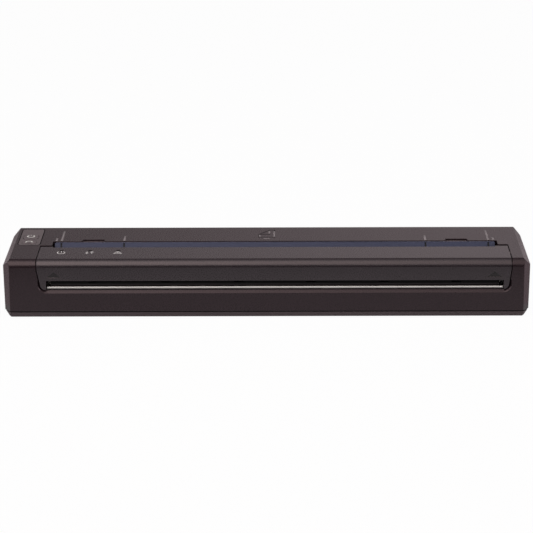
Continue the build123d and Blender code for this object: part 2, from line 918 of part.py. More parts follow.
def head_ends():
    """How far the print head reaches along X."""
    return guide_left + head_end_gap, guide_right - head_end_gap


def make_head_strip():
    """The ceramic strip with its thin heater ridge under the platen."""
    x, base_top = head_ends(), strip_top - ridge_height
    strip = block(x, (platen_y - strip_depth / 2, platen_y + strip_depth / 2), (sink_top, base_top))
    ridge_y = (platen_y - ridge_half_width, platen_y + ridge_half_width)
    return strip + block(x, ridge_y, (base_top - sunk, strip_top))


def pivot_lug_places():
    """Where the heat sink's pivot lugs are along X."""
    inset = 1.5 * pivot_lug_width
    left, right = guide_left + inset, guide_right - inset
    return [(left, left + pivot_lug_width), (right - pivot_lug_width, right)]


def make_heat_sink():
    """The aluminium bar behind the strip, with two lugs that turn on the pivot rod."""
    pieces = [block(head_ends(), (sink_front_y, sink_rear_y), (sink_bottom, sink_top))]
    lug_y = (pivot_y - pivot_lug_front, sink_rear_y)
    for x0, x1 in pivot_lug_places():
        pieces.append(rod(pivot_lug_radius, pivot_y, pivot_z, x0, x1))
        pieces.append(block((x0, x1), lug_y, (pivot_z, sink_bottom + sunk)))
    sink = fused(pieces)
    return sink - rod(pivot_radius + running_clearance, pivot_y, pivot_z, guide_left, guide_right)


def make_head_pivot_rod():
    """The steel rod that the head tilts on, held by both side frames."""
    return rod(pivot_radius, pivot_y, pivot_z, frame_left, frame_right)


def make_head_springs():
    """Short springs that press the head up against the platen."""
    springs = []
    for number in range(spring_count):
        x = guide_left + guide_width * (number + 0.5) / spring_count
        y = sink_front_y + spring_from_sink_front
        springs.append(post(spring_radius, x, y, bracket_top, sink_bottom))
    return Compound(children=springs)


def make_head_cable():
    """The flat cable from the strip's rear edge down to the board."""
    left, right = paper_center - head_cable_width / 2, paper_center + head_cable_width / 2
    plug_front, plug_top = platen_y + plug_behind_platen, board_top + plug_height
    plug_x = (left - plug_overhang, right + plug_overhang)
    plug = block(plug_x, (plug_front, plug_front + plug_depth), (board_top, plug_top))
    y = plug_front + plug_depth / 2
    low = sink_bottom + head_cable_rise
    top = low + head_cable_sheet
    film = block((left, right), (y, y + head_cable_sheet), (plug_top, top))
    bend = block((left, right), (sink_rear_y + part_clearance, y), (low, top))
    return plug + film + bend


# ---- Platen and gear train -------------------------------------------------------------------

def involute(base, radius):
    """How far round a flank has moved where it reaches a radius, in radians."""
    if radius <= base:
        return 0.0
    angle = math.acos(base / radius)
    return math.tan(angle) - angle


def gear_sketch(teeth, tooth_at):
    """A spur gear: each flank unwinds from the base circle. One tooth points at tooth_at degrees."""
    pitch = gear_module * teeth / 2
    base = pitch * math.cos(math.radians(pressure_angle))
    root, tip = pitch - gear_dedendum, pitch + gear_addendum
    half_tooth = (math.pi * gear_module / 2 - gear_backlash) / 2 / pitch
    at_base = half_tooth + involute(base, pitch)
    flank = [(root, at_base), (max(base, root), at_base), (pitch, half_tooth)]
    flank.append((tip, at_base - involute(base, tip)))
    points = []
    for number in range(teeth):
        middle = math.radians(tooth_at + 360.0 * number / teeth)
        for radius, turn in flank:
            points.append((radius * math.cos(middle - turn), radius * math.sin(middle - turn)))
        for radius, turn in reversed(flank):
            points.append((radius * math.cos(middle + turn), radius * math.sin(middle + turn)))
    return outline(*points)


def meshed_angle(teeth, tooth_at, direction, other_teeth):
    """Where the other gear needs a tooth, so that the two mesh along a direction."""
    share = ((tooth_at - direction) / (360.0 / teeth)) % 1.0
    return direction + 180.0 + (0.5 - share) * 360.0 / other_teeth


def gear(teeth, tooth_at, place, x0, x1, bore):
    """A gear at a place in the (Y, Z) plane."""
    wheel = Pos(*place) * (gear_sketch(teeth, tooth_at) - Circle(bore))
    return along_x(wheel, x0, x1)


def make_platen_gear():
    """The gear on the platen's left end."""
    place = (platen_y, platen_z)
    return gear(platen_teeth, idler_direction, place, gear_left, gear_right, shaft_radius)


def idler_tooth():
    """The direction of one idler tooth."""
    return meshed_angle(platen_teeth, idler_direction, idler_direction, idler_teeth)


def make_idler_gear():
    """The large gear between the pinion and the platen, with lightening pockets."""
    bore = stud_radius + running_clearance
    wheel = gear(idler_teeth, idler_tooth(), idler_place(), gear_left, gear_right, bore)
    root = gear_module * idler_teeth / 2 - gear_dedendum
    web = Pos(*idler_place()) * (Circle(root - idler_rim) - Circle(stud_head_radius + idler_hub))
    return wheel - along_x(web, gear_left, gear_left + idler_pocket)


def make_motor_pinion():
    """The motor's shaft and its pinion."""
    tooth = meshed_angle(idler_teeth, idler_tooth(), pinion_direction, pinion_teeth)
    place = motor_place()
    pinion = along_x(Pos(*place) * gear_sketch(pinion_teeth, tooth), gear_left, gear_right)
    seat = open_left - cheek - motor_shaft_seat
    return pinion + rod(motor_shaft_radius, *place, seat, gear_left + sunk)


def make_idler_stud():
    """The shouldered stud that the idler turns on."""
    place, head_right = idler_place(), gear_left - stud_head_gap
    shank = rod(stud_radius, *place, head_right - sunk, frame_left + frame_sheet)
    return shank + rod(stud_head_radius, *place, head_right - stud_head_thickness, head_right)


def make_drive_motor():
    """A small can motor, flanged to the left cheek."""
    place = motor_place()
    face = open_left - cheek
    can = rod(motor_radius, *place, face - motor_length, face)
    can = chamfer(can.edges().group_by(Axis.X)[0], motor_chamfer)
    ears = RectangleRounded(2 * motor_ear_reach, 2 * motor_ear_half, motor_ear_round)
    flange = along_x(Pos(*place) * ears, face - motor_flange, face)
    bore_end = face - motor_shaft_seat - motor_bore_spare
    return can + flange - rod(motor_shaft_radius + running_clearance, *place, bore_end, face + past)


def make_platen_shaft():
    """The steel shaft through the platen."""
    ends = (gear_left - shaft_past_gear, frame_right + shaft_past_frame)
    return rod(shaft_radius, platen_y, platen_z, *ends)


def make_platen_rubber():
    """The rubber sleeve that drives the sheet."""
    sleeve = rod(platen_radius, platen_y, platen_z, guide_left, guide_right)
    sleeve = chamfer(sleeve.edges().filter_by(GeomType.CIRCLE), sleeve_chamfer)
    return sleeve - rod(shaft_radius, platen_y, platen_z, guide_left - past, guide_right + past)


def make_platen_bushings():
    """Two plain bearings pressed in the cover's arms, which seat in the frames' notches."""
    bushings = []
    for x0, x1 in ((frame_left, arm_left + arm_thickness), (arm_right - arm_thickness, frame_right)):
        ring = rod(bushing_radius, platen_y, platen_z, x0, x1)
        bore = rod(shaft_radius + running_clearance, platen_y, platen_z, x0 - past, x1 + past)
        bushings.append(ring - bore)
    return Compound(children=bushings)


# ---- Cover -----------------------------------------------------------------------------------

def cover_arm(x0, x1):
    """An arm under the cover that holds one end of the platen."""
    width = arm_radius
    web = outline(
        (platen_y - width, platen_z), (platen_y + width, platen_z),
        (platen_y + width, height - cover_wall / 2), (platen_y - width, height - cover_wall / 2),
    )
    return along_x(web + Pos(platen_y, platen_z) * Circle(width), x0, x1)


def triangle_marks():
    """Two shallow triangles, point up, that show where to lift the cover."""
    cuts = []
    low, half = slot_top + mark_above_slot, mark_width / 2
    for middle in (cover_left + mark_from_end, cover_right - mark_from_end):
        sketch = outline((middle - half, low), (middle + half, low), (middle, low + mark_height))
        cuts.append(along_y(sketch, front_y - past, front_y + mark_sink))
    return fused(cuts)


def make_release_cover():
    """The cover over the platen, with its front skirt, end walls, ears and arms."""
    zone = cover_zone(0.0, cover_rear_y)
    for ear in ((cover_left, cover_left + ear_width), (cover_right - ear_width, cover_right)):
        zone += block(ear, (cover_rear_y - past, ear_rear_y), (top_cut_low, height + past))
    shell = (case_form() - case_form(cover_wall)) & zone
    shell -= block((slot_left, slot_right), (front_y - past, front_y + cover_wall + past), (0, slot_top))
    end_form, low = case_form(cover_wall / 2) & zone, height - cover_end_drop
    pieces = [shell]
    for x in ((cover_left, cover_left + cover_end_wall), (cover_right - cover_end_wall, cover_right)):
        pieces.append(block(x, (front_y, ear_rear_y), (low, height)) & end_form)
    pieces.append(cover_arm(arm_left, arm_left + arm_thickness))
    pieces.append(cover_arm(arm_right - arm_thickness, arm_right))
    post_y = hinge_y - lamp_post_from_hinge
    for x in ((LAMPS[0] + LAMPS[1]) / 2, (LAMPS[1] + LAMPS[2]) / 2):
        pieces.append(post(lamp_post_radius, x, post_y, height - lamp_board_drop, height - cover_wall / 2))
    solid = fused(pieces)
    bore = hinge_pin_radius + running_clearance
    solid -= rod(bore, hinge_y, hinge_z, cover_left - past, cover_left + hinge_bore_depth)
    solid -= rod(bore, hinge_y, hinge_z, cover_right - hinge_bore_depth, cover_right + past)
    solid -= rod(bushing_radius, platen_y, platen_z, arm_left - sunk, arm_right + sunk)
    gear_room = gear_module * platen_teeth / 2 + gear_addendum + gear_gap
    sides = (gear_left - gear_side_room, gear_right + gear_side_room)
    solid -= rod(gear_room, platen_y, platen_z, *sides)
    for x in LAMPS:
        solid -= post(lamp_radius, x, hinge_y - lamp_from_hinge, height - cover_wall - past, height + past)
    return solid - triangle_marks()


def make_hinge_pins():
    """Two steel pins in the cheeks that the cover turns on."""
    left = rod(hinge_pin_radius, hinge_y, hinge_z, open_left - cheek, cover_left + cover_end_wall)
    right = rod(hinge_pin_radius, hinge_y, hinge_z, cover_right - cover_end_wall, open_right + cheek)
    return Compound(children=[left, right])


def make_light_guides():
    """Three clear rods that bring the indicators' light to the cover's top."""
    low, top = height - lamp_guide_length, height - lamp_set_in
    return Compound(children=[post(lamp_radius, x, hinge_y - lamp_from_hinge, low, top) for x in LAMPS])


def make_indicator_board():
    """The small board under the cover, with one lamp under each light guide."""
    top, middle = height - lamp_board_drop, hinge_y - lamp_from_hinge
    board_x = (LAMPS[0] - lamp_board_end, LAMPS[-1] + lamp_board_end)
    pieces = [block(board_x, (middle - lamp_board_front, hinge_y - sunk), (top - lamp_board, top))]
    y, z = (middle - lamp_half_depth, middle + lamp_half_depth), (top - sunk, height - lamp_guide_length)
    for x in LAMPS:
        pieces.append(block((x - lamp_radius, x + lamp_radius), y, z))
    return fused(pieces)


# ---- Keypad ----------------------------------------------------------------------------------

def key_outline(size, grow=0.0):
    """A key's rounded rectangle."""
    return RectangleRounded(size[0] + 2 * grow, size[1] + 2 * grow, key_corner + grow)


def make_keypad_plate():
    """The plate round the two keys, let into the housing's top."""
    plate = keypad_zone(0.0, height - keypad_thickness, height)
    low = height - keypad_thickness - past
    for size, y in ((power_key_size, power_key_y), (feed_key_size, feed_key_y)):
        plate -= along_z(Pos(key_x, y) * key_outline(size, key_clearance), low, height + past)
    return plate


def make_key(size, y):
    """A key: a domed cap, a collar that keeps it under the plate and a stem."""
    under = height - keypad_thickness
    cap = along_z(Pos(key_x, y) * key_outline(size), under - key_skirt, height + key_rise)
    cap = chamfer(cap.faces().sort_by(Axis.Z)[-1].edges(), key_chamfer)
    reach_x, reach_y = size[0] / 2 + key_collar, size[1] / 2 + key_collar
    collar_top = under - key_clearance
    collar_z = (collar_top - key_collar_thickness, collar_top)
    collar = block((key_x - reach_x, key_x + reach_x), (y - reach_y, y + reach_y), collar_z)
    stem_end = switch_top() + key_travel + running_clearance
    return cap + collar + post(key_stem_radius, key_x, y, stem_end, collar_top - sunk)


def make_power_button():
    """The power key."""
    return make_key(power_key_size, power_key_y)


def make_feed_button():
    """The paper feed key."""
    return make_key(feed_key_size, feed_key_y)


def switch_top():
    """The height of the tact switches' plungers."""
    return height - switch_board_drop + switch_height


def hanger_places():
    """Where the key board hangs from the housing, along Y."""
    return keypad_front - hanger_before_keypad, rear_y - wall - hanger_radius - part_clearance


def make_switch_board():
    """The board under the keys, hung from the housing's top."""
    top = height - switch_board_drop
    x = (keypad_left - part_clearance, open_left - cheek - part_clearance)
    front, rear = hanger_places()
    y = (front - hanger_radius, rear + hanger_radius - hanger_set_in)
    return block(x, y, (top - switch_board_sheet, top))


def make_tact_switches():
    """One dome switch under each key."""
    low = height - switch_board_drop
    body_top = low + switch_body_height
    switches = []
    for y in (power_key_y, feed_key_y):
        body = square_post(switch_size / 2, key_x, y, low, body_top)
        switches.append(body + post(key_stem_radius, key_x, y, body_top - sunk, switch_top()))
    return Compound(children=switches)


# ---- Board, sockets and battery --------------------------------------------------------------

def board_posts():
    """Where the tray's posts carry the board."""
    quarter, inner = guide_width / 4, partition_y - board_post_from_partition
    return [
        (paper_center - quarter, inner), (paper_center, front_y + board_post_from_front),
        (paper_center + quarter, inner), (usb_left + usb_width / 2, jack_front + board_post_behind_jack),
    ]


def make_main_board():
    """The main circuit board: a strip under the print head, and an arm at the rear left."""
    strip_left, z = frame_left + frame_sheet, (board_z, board_top)
    arm_end = door_left - door_gap - door_pin_length - board_from_door_pin
    strip_rear, board_rear = partition_y - part_clearance, rear_y - board_rear_gap
    strip = block((strip_left, cover_right - board_right_gap), (front_y + board_front_gap, strip_rear), z)
    neck = block((strip_left, arm_end), (strip_rear - past, board_rear), z)
    arm = block((left_x + board_end_gap, arm_end), (jack_front - board_before_jack, board_rear), z)
    board = (strip + neck + arm) & case_form(wall + board_wall_gap)
    for x, y in CASE_SCREWS:
        board -= square_post(boss_radius + part_clearance, x, y, 0, height)
    for x, y in BRACKET_POSTS:
        board -= square_post(bracket_post_half + part_clearance, x, y, 0, height)
    return board


def make_board_components():
    """Chips, a coil and capacitors on the board, lower than the cross plate."""
    room = bracket_z - board_top - part_clearance
    y = platen_y + chips_behind_platen
    chips = []
    for place, width, reach, share in CHIPS:
        x = paper_center + place
        across, along = (x - width / 2, x + width / 2), (y - reach / 2, y + reach / 2)
        chips.append(block(across, along, (board_top, board_top + room * share)))
    return Compound(children=chips)


def make_usb_socket():
    """A small metal USB socket with its tongue."""
    x, z = (usb_left, usb_right), (board_top, board_top + usb_height)
    y = (rear_y - usb_set_in - usb_depth, rear_y - usb_set_in)
    hollow = block(
        (x[0] + usb_shell, x[1] - usb_shell), (y[0] + usb_shell, y[1] + past),
        (z[0] + usb_shell, z[1] - usb_shell),
    )
    middle, half = (z[0] + z[1]) / 2, usb_tongue_thickness / 2
    tongue = block(
        (x[0] + usb_tongue_side_gap, x[1] - usb_tongue_side_gap), (y[0] + sunk, y[1] - usb_tongue_set_in),
        (middle - half, middle + half),
    )
    return block(x, y, z) - hollow + tongue


def make_power_jack():
    """The barrel socket for the power adapter, with its centre pin."""
    half, back_wall = jack_width / 2, jack_front + jack_back_wall
    body = block((jack_x - half, jack_x + half), (jack_front, jack_rear), (board_top, jack_z + half))
    axis = Pos(jack_x, jack_z)
    nose = along_y(axis * Circle(jack_nose_radius), jack_rear - sunk, rear_y - jack_nose_set_in)
    hole = along_y(axis * Circle(jack_bore_radius), back_wall, rear_y + past)
    pin = along_y(axis * Circle(jack_pin_radius), back_wall - sunk, rear_y - jack_pin_set_in)
    return body + nose - hole + pin


def battery_box():
    """The battery's extent along each axis."""
    y0 = partition_y + partition + part_clearance
    y1 = knuckle_y - knuckle_radius - part_clearance
    x = (bay_left + contact_length, door_right - battery_end_gap)
    return x, (y0, y1), (bay_floor_top, bay_floor_top + battery_height)


def make_battery_pack():
    """The rechargeable pack lying in the bay."""
    x, y, z = battery_box()
    section = RectangleRounded(y[1] - y[0], z[1] - z[0], battery_corner)
    return along_x(Pos((y[0] + y[1]) / 2, (z[0] + z[1]) / 2) * section, x[0], x[1])


def make_battery_contacts():
    """Three sprung contacts between the bay's end and the pack."""
    x, y, z = battery_box()
    middle = (y[0] + y[1]) / 2
    blades = []
    height_span = (z[0] + battery_height / 3, z[0] + battery_height * 2 / 3)
    for number in (-1, 0, 1):
        low = middle + number * contact_pitch - contact_width / 2
        blades.append(block((bay_left, x[0]), (low, low + contact_width), height_span))
    return Compound(children=blades)


def make_battery_door():
    """The rear door: a flat panel that turns on a knuckle along its lower edge."""
    inner = rear_y - door_thickness
    panel = block((door_left, door_right), (inner, rear_y + past), (knuckle_z, door_top))
    knuckle = rod(knuckle_radius, knuckle_y, knuckle_z, door_left, door_right)
    pieces = [
        (panel + knuckle) & case_form(),
        rod(door_pin_radius, knuckle_y, knuckle_z, door_left - door_pin_length, door_left + sunk),
        rod(door_pin_radius, knuckle_y, knuckle_z, door_right - sunk, door_right + door_pin_length),
    ]
    rib_y = (inner - door_rib_depth, inner + sunk)
    rib_z = (knuckle_z + knuckle_radius + door_rib_low_gap, door_top - door_rib_top_gap)
    for number in range(int((door_right - door_left) / door_rib_pitch)):
        x = door_left + door_first_rib + number * door_rib_pitch
        pieces.append(block((x, x + door_rib_width), rib_y, rib_z))
    return fused(pieces)


# ---- Writing the sub-parts -------------------------------------------------------------------

SUB_PARTS = {
    "main_housing": make_main_housing,
    "base_tray": make_base_tray,
    "rubber_feet": make_rubber_feet,
    "case_screws": make_case_screws,
    "feed_guide": make_feed_guide,
    "tear_bar": make_tear_bar,
    "exit_guide": make_exit_guide,
    "left_side_frame": make_left_side_frame,
    "right_side_frame": make_right_side_frame,
    "head_bracket": make_head_bracket,
    "bracket_screws": make_bracket_screws,
    "head_pivot_rod": make_head_pivot_rod,
    "head_springs": make_head_springs,
    "head_cable": make_head_cable,
    "head_strip": make_head_strip,
    "heat_sink": make_heat_sink,
    "platen_shaft": make_platen_shaft,
    "platen_rubber": make_platen_rubber,
    "platen_gear": make_platen_gear,
    "platen_bushings": make_platen_bushings,
    "idler_gear": make_idler_gear,
    "idler_stud": make_idler_stud,
    "motor_pinion": make_motor_pinion,
    "drive_motor": make_drive_motor,
    "release_cover": make_release_cover,
    "hinge_pins": make_hinge_pins,
    "light_guides": make_light_guides,
    "indicator_board": make_indicator_board,
    "keypad_plate": make_keypad_plate,
    "power_button": make_power_button,
    "feed_button": make_feed_button,
    "switch_board": make_switch_board,
    "tact_switches": make_tact_switches,
    "main_board": make_main_board,
    "board_components": make_board_components,
    "usb_socket": make_usb_socket,
    "power_jack": make_power_jack,
    "battery_pack": make_battery_pack,
    "battery_contacts": make_battery_contacts,
    "battery_door": make_battery_door,
}

os.makedirs("parts", exist_ok=True)
for name, make in SUB_PARTS.items():
    export_step(make(), f"parts/{name}.step")
    print("wrote", name)
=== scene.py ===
# %% [markdown]
# # A portable page printer
# The solids of the printer come ready made, in metres: X runs along the case, Y to its back and Z up.
# Here they get their finishes, and small parts with curved or printed detail are made as new meshes.
# The whole scene is worked out from the solids' own boxes, so nothing has to be fitted by eye.

# %% Load the solids
import json
import math

import bmesh
import bpy
import numpy as np
from mathutils import Matrix, Vector


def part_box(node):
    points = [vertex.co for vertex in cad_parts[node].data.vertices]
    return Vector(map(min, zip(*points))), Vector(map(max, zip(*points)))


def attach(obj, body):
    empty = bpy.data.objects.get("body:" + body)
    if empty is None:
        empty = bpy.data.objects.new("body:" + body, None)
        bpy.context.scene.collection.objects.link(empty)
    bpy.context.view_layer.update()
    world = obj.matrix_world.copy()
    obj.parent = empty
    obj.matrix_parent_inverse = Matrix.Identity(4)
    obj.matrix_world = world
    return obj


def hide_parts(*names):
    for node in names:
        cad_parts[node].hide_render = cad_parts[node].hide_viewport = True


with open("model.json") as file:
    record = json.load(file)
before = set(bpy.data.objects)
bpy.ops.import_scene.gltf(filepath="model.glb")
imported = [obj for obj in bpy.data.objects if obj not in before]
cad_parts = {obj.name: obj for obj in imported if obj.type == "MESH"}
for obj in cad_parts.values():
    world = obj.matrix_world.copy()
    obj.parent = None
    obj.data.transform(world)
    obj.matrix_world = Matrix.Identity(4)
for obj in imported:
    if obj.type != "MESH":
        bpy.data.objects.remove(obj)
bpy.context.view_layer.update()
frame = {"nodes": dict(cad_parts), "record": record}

MM = 0.001
nodes = frame["nodes"]

# %% [markdown]
# ## Camera
# The printer is seen from the front and a little above, from about a metre away. A long lens keeps the
# two ends of the case nearly the same size. The camera is set by its place and three turns, because a
# target to aim at would hide the small roll that keeps the case level in the frame.

# %% Camera
CAMERA_PLACE = Vector((6.35, -1033.07, 354.37)) * MM
CAMERA_DOWN = math.radians(18.047)
CAMERA_TURN = math.radians(-0.359)
CAMERA_ROLL = math.radians(-0.251)
CAMERA_LENS = 148.32


def camera_turns(turn, down, roll):
    """The camera's axes as columns: right, up and backwards, for a turn about Z, a dip and a roll."""
    ahead = Vector((math.sin(turn) * math.cos(down), math.cos(turn) * math.cos(down), -math.sin(down)))
    level = Vector((math.cos(turn), -math.sin(turn), 0))
    upright = level.cross(ahead)
    right = math.cos(roll) * level + math.sin(roll) * upright
    up = math.cos(roll) * upright - math.sin(roll) * level
    return Matrix((right, up, -ahead)).transposed()


camera = bpy.data.objects.new("camera", bpy.data.cameras.new("camera"))
bpy.context.scene.collection.objects.link(camera)
turned_to = camera_turns(CAMERA_TURN, CAMERA_DOWN, CAMERA_ROLL)
camera.matrix_world = Matrix.Translation(CAMERA_PLACE) @ turned_to.to_4x4()
camera.data.lens = CAMERA_LENS
camera.data.sensor_width = 36.0
camera.data.clip_start, camera.data.clip_end = 0.05, 60.0
bpy.context.scene.camera = camera
bpy.context.scene.view_settings.view_transform = "Standard"
print("camera at", tuple(round(v, 3) for v in camera.location), "lens", CAMERA_LENS)

# %% [markdown]
# ## Shader sums in Python
# A finish is a small formula over the surface: a little noise for the moulded grain, a mask for an
# edge. Written as node links, such a formula is long and hard to read. The class below wraps a socket,
# so that `1 - mask * 0.3` adds the Math nodes by itself.

# %% Socket wrapper
class Value:
    """One number that changes over a surface; Python's sums on it add Math nodes."""

    def __init__(self, finish, socket):
        self.finish, self.socket = finish, socket

    def math(self, operation, *others):
        sockets = dict(enumerate((self,) + others))
        return self.finish.node("ShaderNodeMath", {"operation": operation}, sockets, "Value")

    def swapped(self, operation, other):
        return self.finish.node("ShaderNodeMath", {"operation": operation}, {0: other, 1: self}, "Value")

    def __add__(self, other):
        return self.math("ADD", other)

    def __sub__(self, other):
        return self.math("SUBTRACT", other)

    def __mul__(self, other):
        return self.math("MULTIPLY", other)

    def __rsub__(self, other):
        return self.swapped("SUBTRACT", other)

    __radd__ = __add__
    __rmul__ = __mul__

    def under(self, limit):
        return self.math("LESS_THAN", limit)

    def over(self, limit):
        return self.math("GREATER_THAN", limit)


def between(value, low, high):
    """1 where the value lies between two limits, and 0 elsewhere."""
    return value.over(low) * value.under(high)


print("socket wrapper ready")

# %% [markdown]
# ## One maker for all finishes
# Every other node comes from one method, which takes the kind of node, its settings and what goes into
# its sockets. A plain number is set on the socket and a Value is linked to it. What never varies stays
# on the shader's own sockets, so that only what changes over the surface needs a node.

# %% Material maker
class Finish:
    """A material, its Principled shader and the two ways to add nodes to it."""

    def __init__(self, name, **constants):
        self.material = bpy.data.materials.new(name)
        self.material.use_nodes = True
        self.tree = self.material.node_tree
        self.shader = self.tree.nodes["Principled BSDF"]
        for socket, value in constants.items():
            self.shader.inputs[socket.replace("_", " ")].default_value = value

    def fill(self, node, sockets):
        for name, value in sockets.items():
            if isinstance(name, int):
                socket = node.inputs[name]
            else:
                socket = next(s for s in node.inputs if s.name == name and s.enabled)
            if isinstance(value, Value):
                self.tree.links.new(value.socket, socket)
            else:
                socket.default_value = value

    def node(self, kind, settings, sockets, output):
        made = self.tree.nodes.new(kind)
        for name, value in settings.items():
            if name == "stops":
                for number, (place, colour) in enumerate(value):
                    ramp = made.color_ramp.elements
                    stop = ramp[number] if number < len(ramp) else ramp.new(place)
                    stop.position, stop.color = place, (*colour, 1.0)
            else:
                setattr(made, name, value)
        self.fill(made, sockets)
        return Value(self, next(s for s in made.outputs if s.name == output and s.enabled))

    def place(self):
        return self.node("ShaderNodeTexCoord", {}, {}, "Object")

    def along(self, axis):
        return self.node("ShaderNodeSeparateXYZ", {}, {"Vector": self.place()}, axis)

    def noise(self, size, detail=2.0, stretch=(1.0, 1.0, 1.0), roughness=0.5):
        vector = self.place()
        if stretch != (1.0, 1.0, 1.0):
            vector = self.node("ShaderNodeMapping", {}, {"Vector": vector, "Scale": stretch}, "Vector")
        sockets = {"Vector": vector, "Scale": 1.0 / size, "Detail": detail, "Roughness": roughness}
        return self.node("ShaderNodeTexNoise", {}, sockets, "Fac")

    def blend(self, mask, first, second):
        sockets = {"Factor": mask, "A": first, "B": second}
        return self.node("ShaderNodeMix", {"data_type": "RGBA"}, sockets, "Result")

    def soft_edge(self, radius):
        return self.node("ShaderNodeBevel", {"samples": 6}, {"Radius": radius}, "Normal")

    def bump(self, height, depth, normal=None, strength=1.0):
        sockets = {"Height": height, "Distance": depth, "Strength": strength}
        if normal is not None:
            sockets["Normal"] = normal
        return self.node("ShaderNodeBump", {}, sockets, "Normal")

    def set(self, **sockets):
        self.fill(self.shader, {name.replace("_", " "): value for name, value in sockets.items()})
        return self.material


def shade(colour, factor):
    """A colour made lighter or darker, as the four numbers that a socket takes."""
    return (*(channel * factor for channel in colour), 1.0)


print("material maker ready")

# %% [markdown]
# ## Room
# A dark matt case is mostly seen by what it reflects. A pale room all round gives the top its soft
# sheen, because a flat view makes every surface more mirror-like, and leaves the upright front darker.
# The camera and mirror rays see a white room, and all other rays see a dimmer one.

# %% Room
ROOM_LEVEL = 0.35


def seen_rays(tree):
    """1 for rays that come from the camera, or by way of a mirror or glass, and 0 for the others."""
    path = tree.nodes.new("ShaderNodeLightPath")
    total = path.outputs["Is Camera Ray"]
    for name in ("Is Glossy Ray", "Is Transmission Ray"):
        larger = tree.nodes.new("ShaderNodeMath")
        larger.operation = "MAXIMUM"
        tree.links.new(total, larger.inputs[0])
        tree.links.new(path.outputs[name], larger.inputs[1])
        total = larger.outputs["Value"]
    return total


def make_room():
    world = bpy.data.worlds.new("pale_room")
    world.use_nodes = True
    tree = world.node_tree
    level = tree.nodes.new("ShaderNodeMapRange")
    level.inputs["To Min"].default_value, level.inputs["To Max"].default_value = ROOM_LEVEL, 1.0
    tree.links.new(seen_rays(tree), level.inputs["Value"])
    tree.links.new(level.outputs["Result"], tree.nodes["Background"].inputs["Strength"])
    tree.nodes["Background"].inputs["Color"].default_value = (1.0, 1.0, 1.0, 1.0)
    bpy.context.scene.world = world


make_room()
print("room level", ROOM_LEVEL)

# %% [markdown]
# ## Floor
# The printer stands on a large sheet of white paper. The camera sees the sheet glow evenly, so that it
# has no horizon, and the small share of matt paper in the mix still takes a faint shadow.

# %% Floor
FLOOR_REACH = 6.0
FLOOR_WHITE = 0.96
PAPER_GREY = 0.9


def make_floor():
    """A flat square sheet of paper that lights itself for the camera but still takes a faint shadow."""
    mesh = bpy.data.meshes.new("floor")
    corners = [(-1, -1), (1, -1), (1, 1), (-1, 1)]
    mesh.from_pydata([(x * FLOOR_REACH, y * FLOOR_REACH, 0.0) for x, y in corners], [], [(0, 1, 2, 3)])
    floor = bpy.data.objects.new("floor", mesh)
    bpy.context.scene.collection.objects.link(floor)
    paper = bpy.data.materials.new("white_paper")
    paper.use_nodes = True
    tree = paper.node_tree
    tree.nodes.clear()
    matt, glow = tree.nodes.new("ShaderNodeBsdfDiffuse"), tree.nodes.new("ShaderNodeEmission")
    matt.inputs["Color"].default_value = (PAPER_GREY, PAPER_GREY, PAPER_GREY, 1.0)
    mix, output = tree.nodes.new("ShaderNodeMixShader"), tree.nodes.new("ShaderNodeOutputMaterial")
    share = tree.nodes.new("ShaderNodeMath")
    share.operation = "MULTIPLY"
    share.inputs[1].default_value = FLOOR_WHITE
    tree.links.new(seen_rays(tree), share.inputs[0])
    tree.links.new(share.outputs["Value"], mix.inputs["Fac"])
    tree.links.new(matt.outputs["BSDF"], mix.inputs[1])
    tree.links.new(glow.outputs["Emission"], mix.inputs[2])
    tree.links.new(mix.outputs["Shader"], output.inputs["Surface"])
    mesh.materials.append(paper)


make_floor()
print("floor reaches", FLOOR_REACH, "m each way")

# %% [markdown]
# ## Soft boxes
# Three lamps with large faces shade the case softly: a long one above the front and one at each end,
# which light the corner facets. Their light is a little warm, as the dark plastic is.

# %% Soft boxes
LAMP_COLOUR = (1.0, 0.86, 0.89)
SOFT_BOXES = (
    ("top_box", (-0.2, -0.6, 1.35), (1.4, 0.4), 7.0),
    ("left_box", (-1.2, -0.35, 0.45), (0.7, 0.7), 6.0),
    ("right_box", (1.2, -0.35, 0.45), (0.7, 0.7), 7.0),
)


def soft_box(name, place, size, power):
    """A rectangular lamp that faces the printer. Its place and size are in metres, its power in watts."""
    lamp = bpy.data.objects.new(name, bpy.data.lights.new(name, "AREA"))
    lamp.data.shape = "RECTANGLE"
    lamp.data.size, lamp.data.size_y = size
    lamp.data.energy = power
    lamp.data.color = LAMP_COLOUR
    lamp.location = place
    lamp.rotation_euler = (-Vector(place)).to_track_quat("-Z", "Y").to_euler()
    bpy.context.scene.collection.objects.link(lamp)


for soft_box_facts in SOFT_BOXES:
    soft_box(*soft_box_facts)
print(len(SOFT_BOXES), "soft boxes")

# %% [markdown]
# ## Cards
# Studios put flat cards round a dark product, because what an edge or a top mirrors shows how it is
# rounded and where it lies. A glowing card above draws the bright line along the rounded front edge, a
# wall far behind gives the top its slow change of shade from left to right, and black cards in front
# keep the upright front dark. Only mirror rays see them, so they light nothing and cast no shadow.

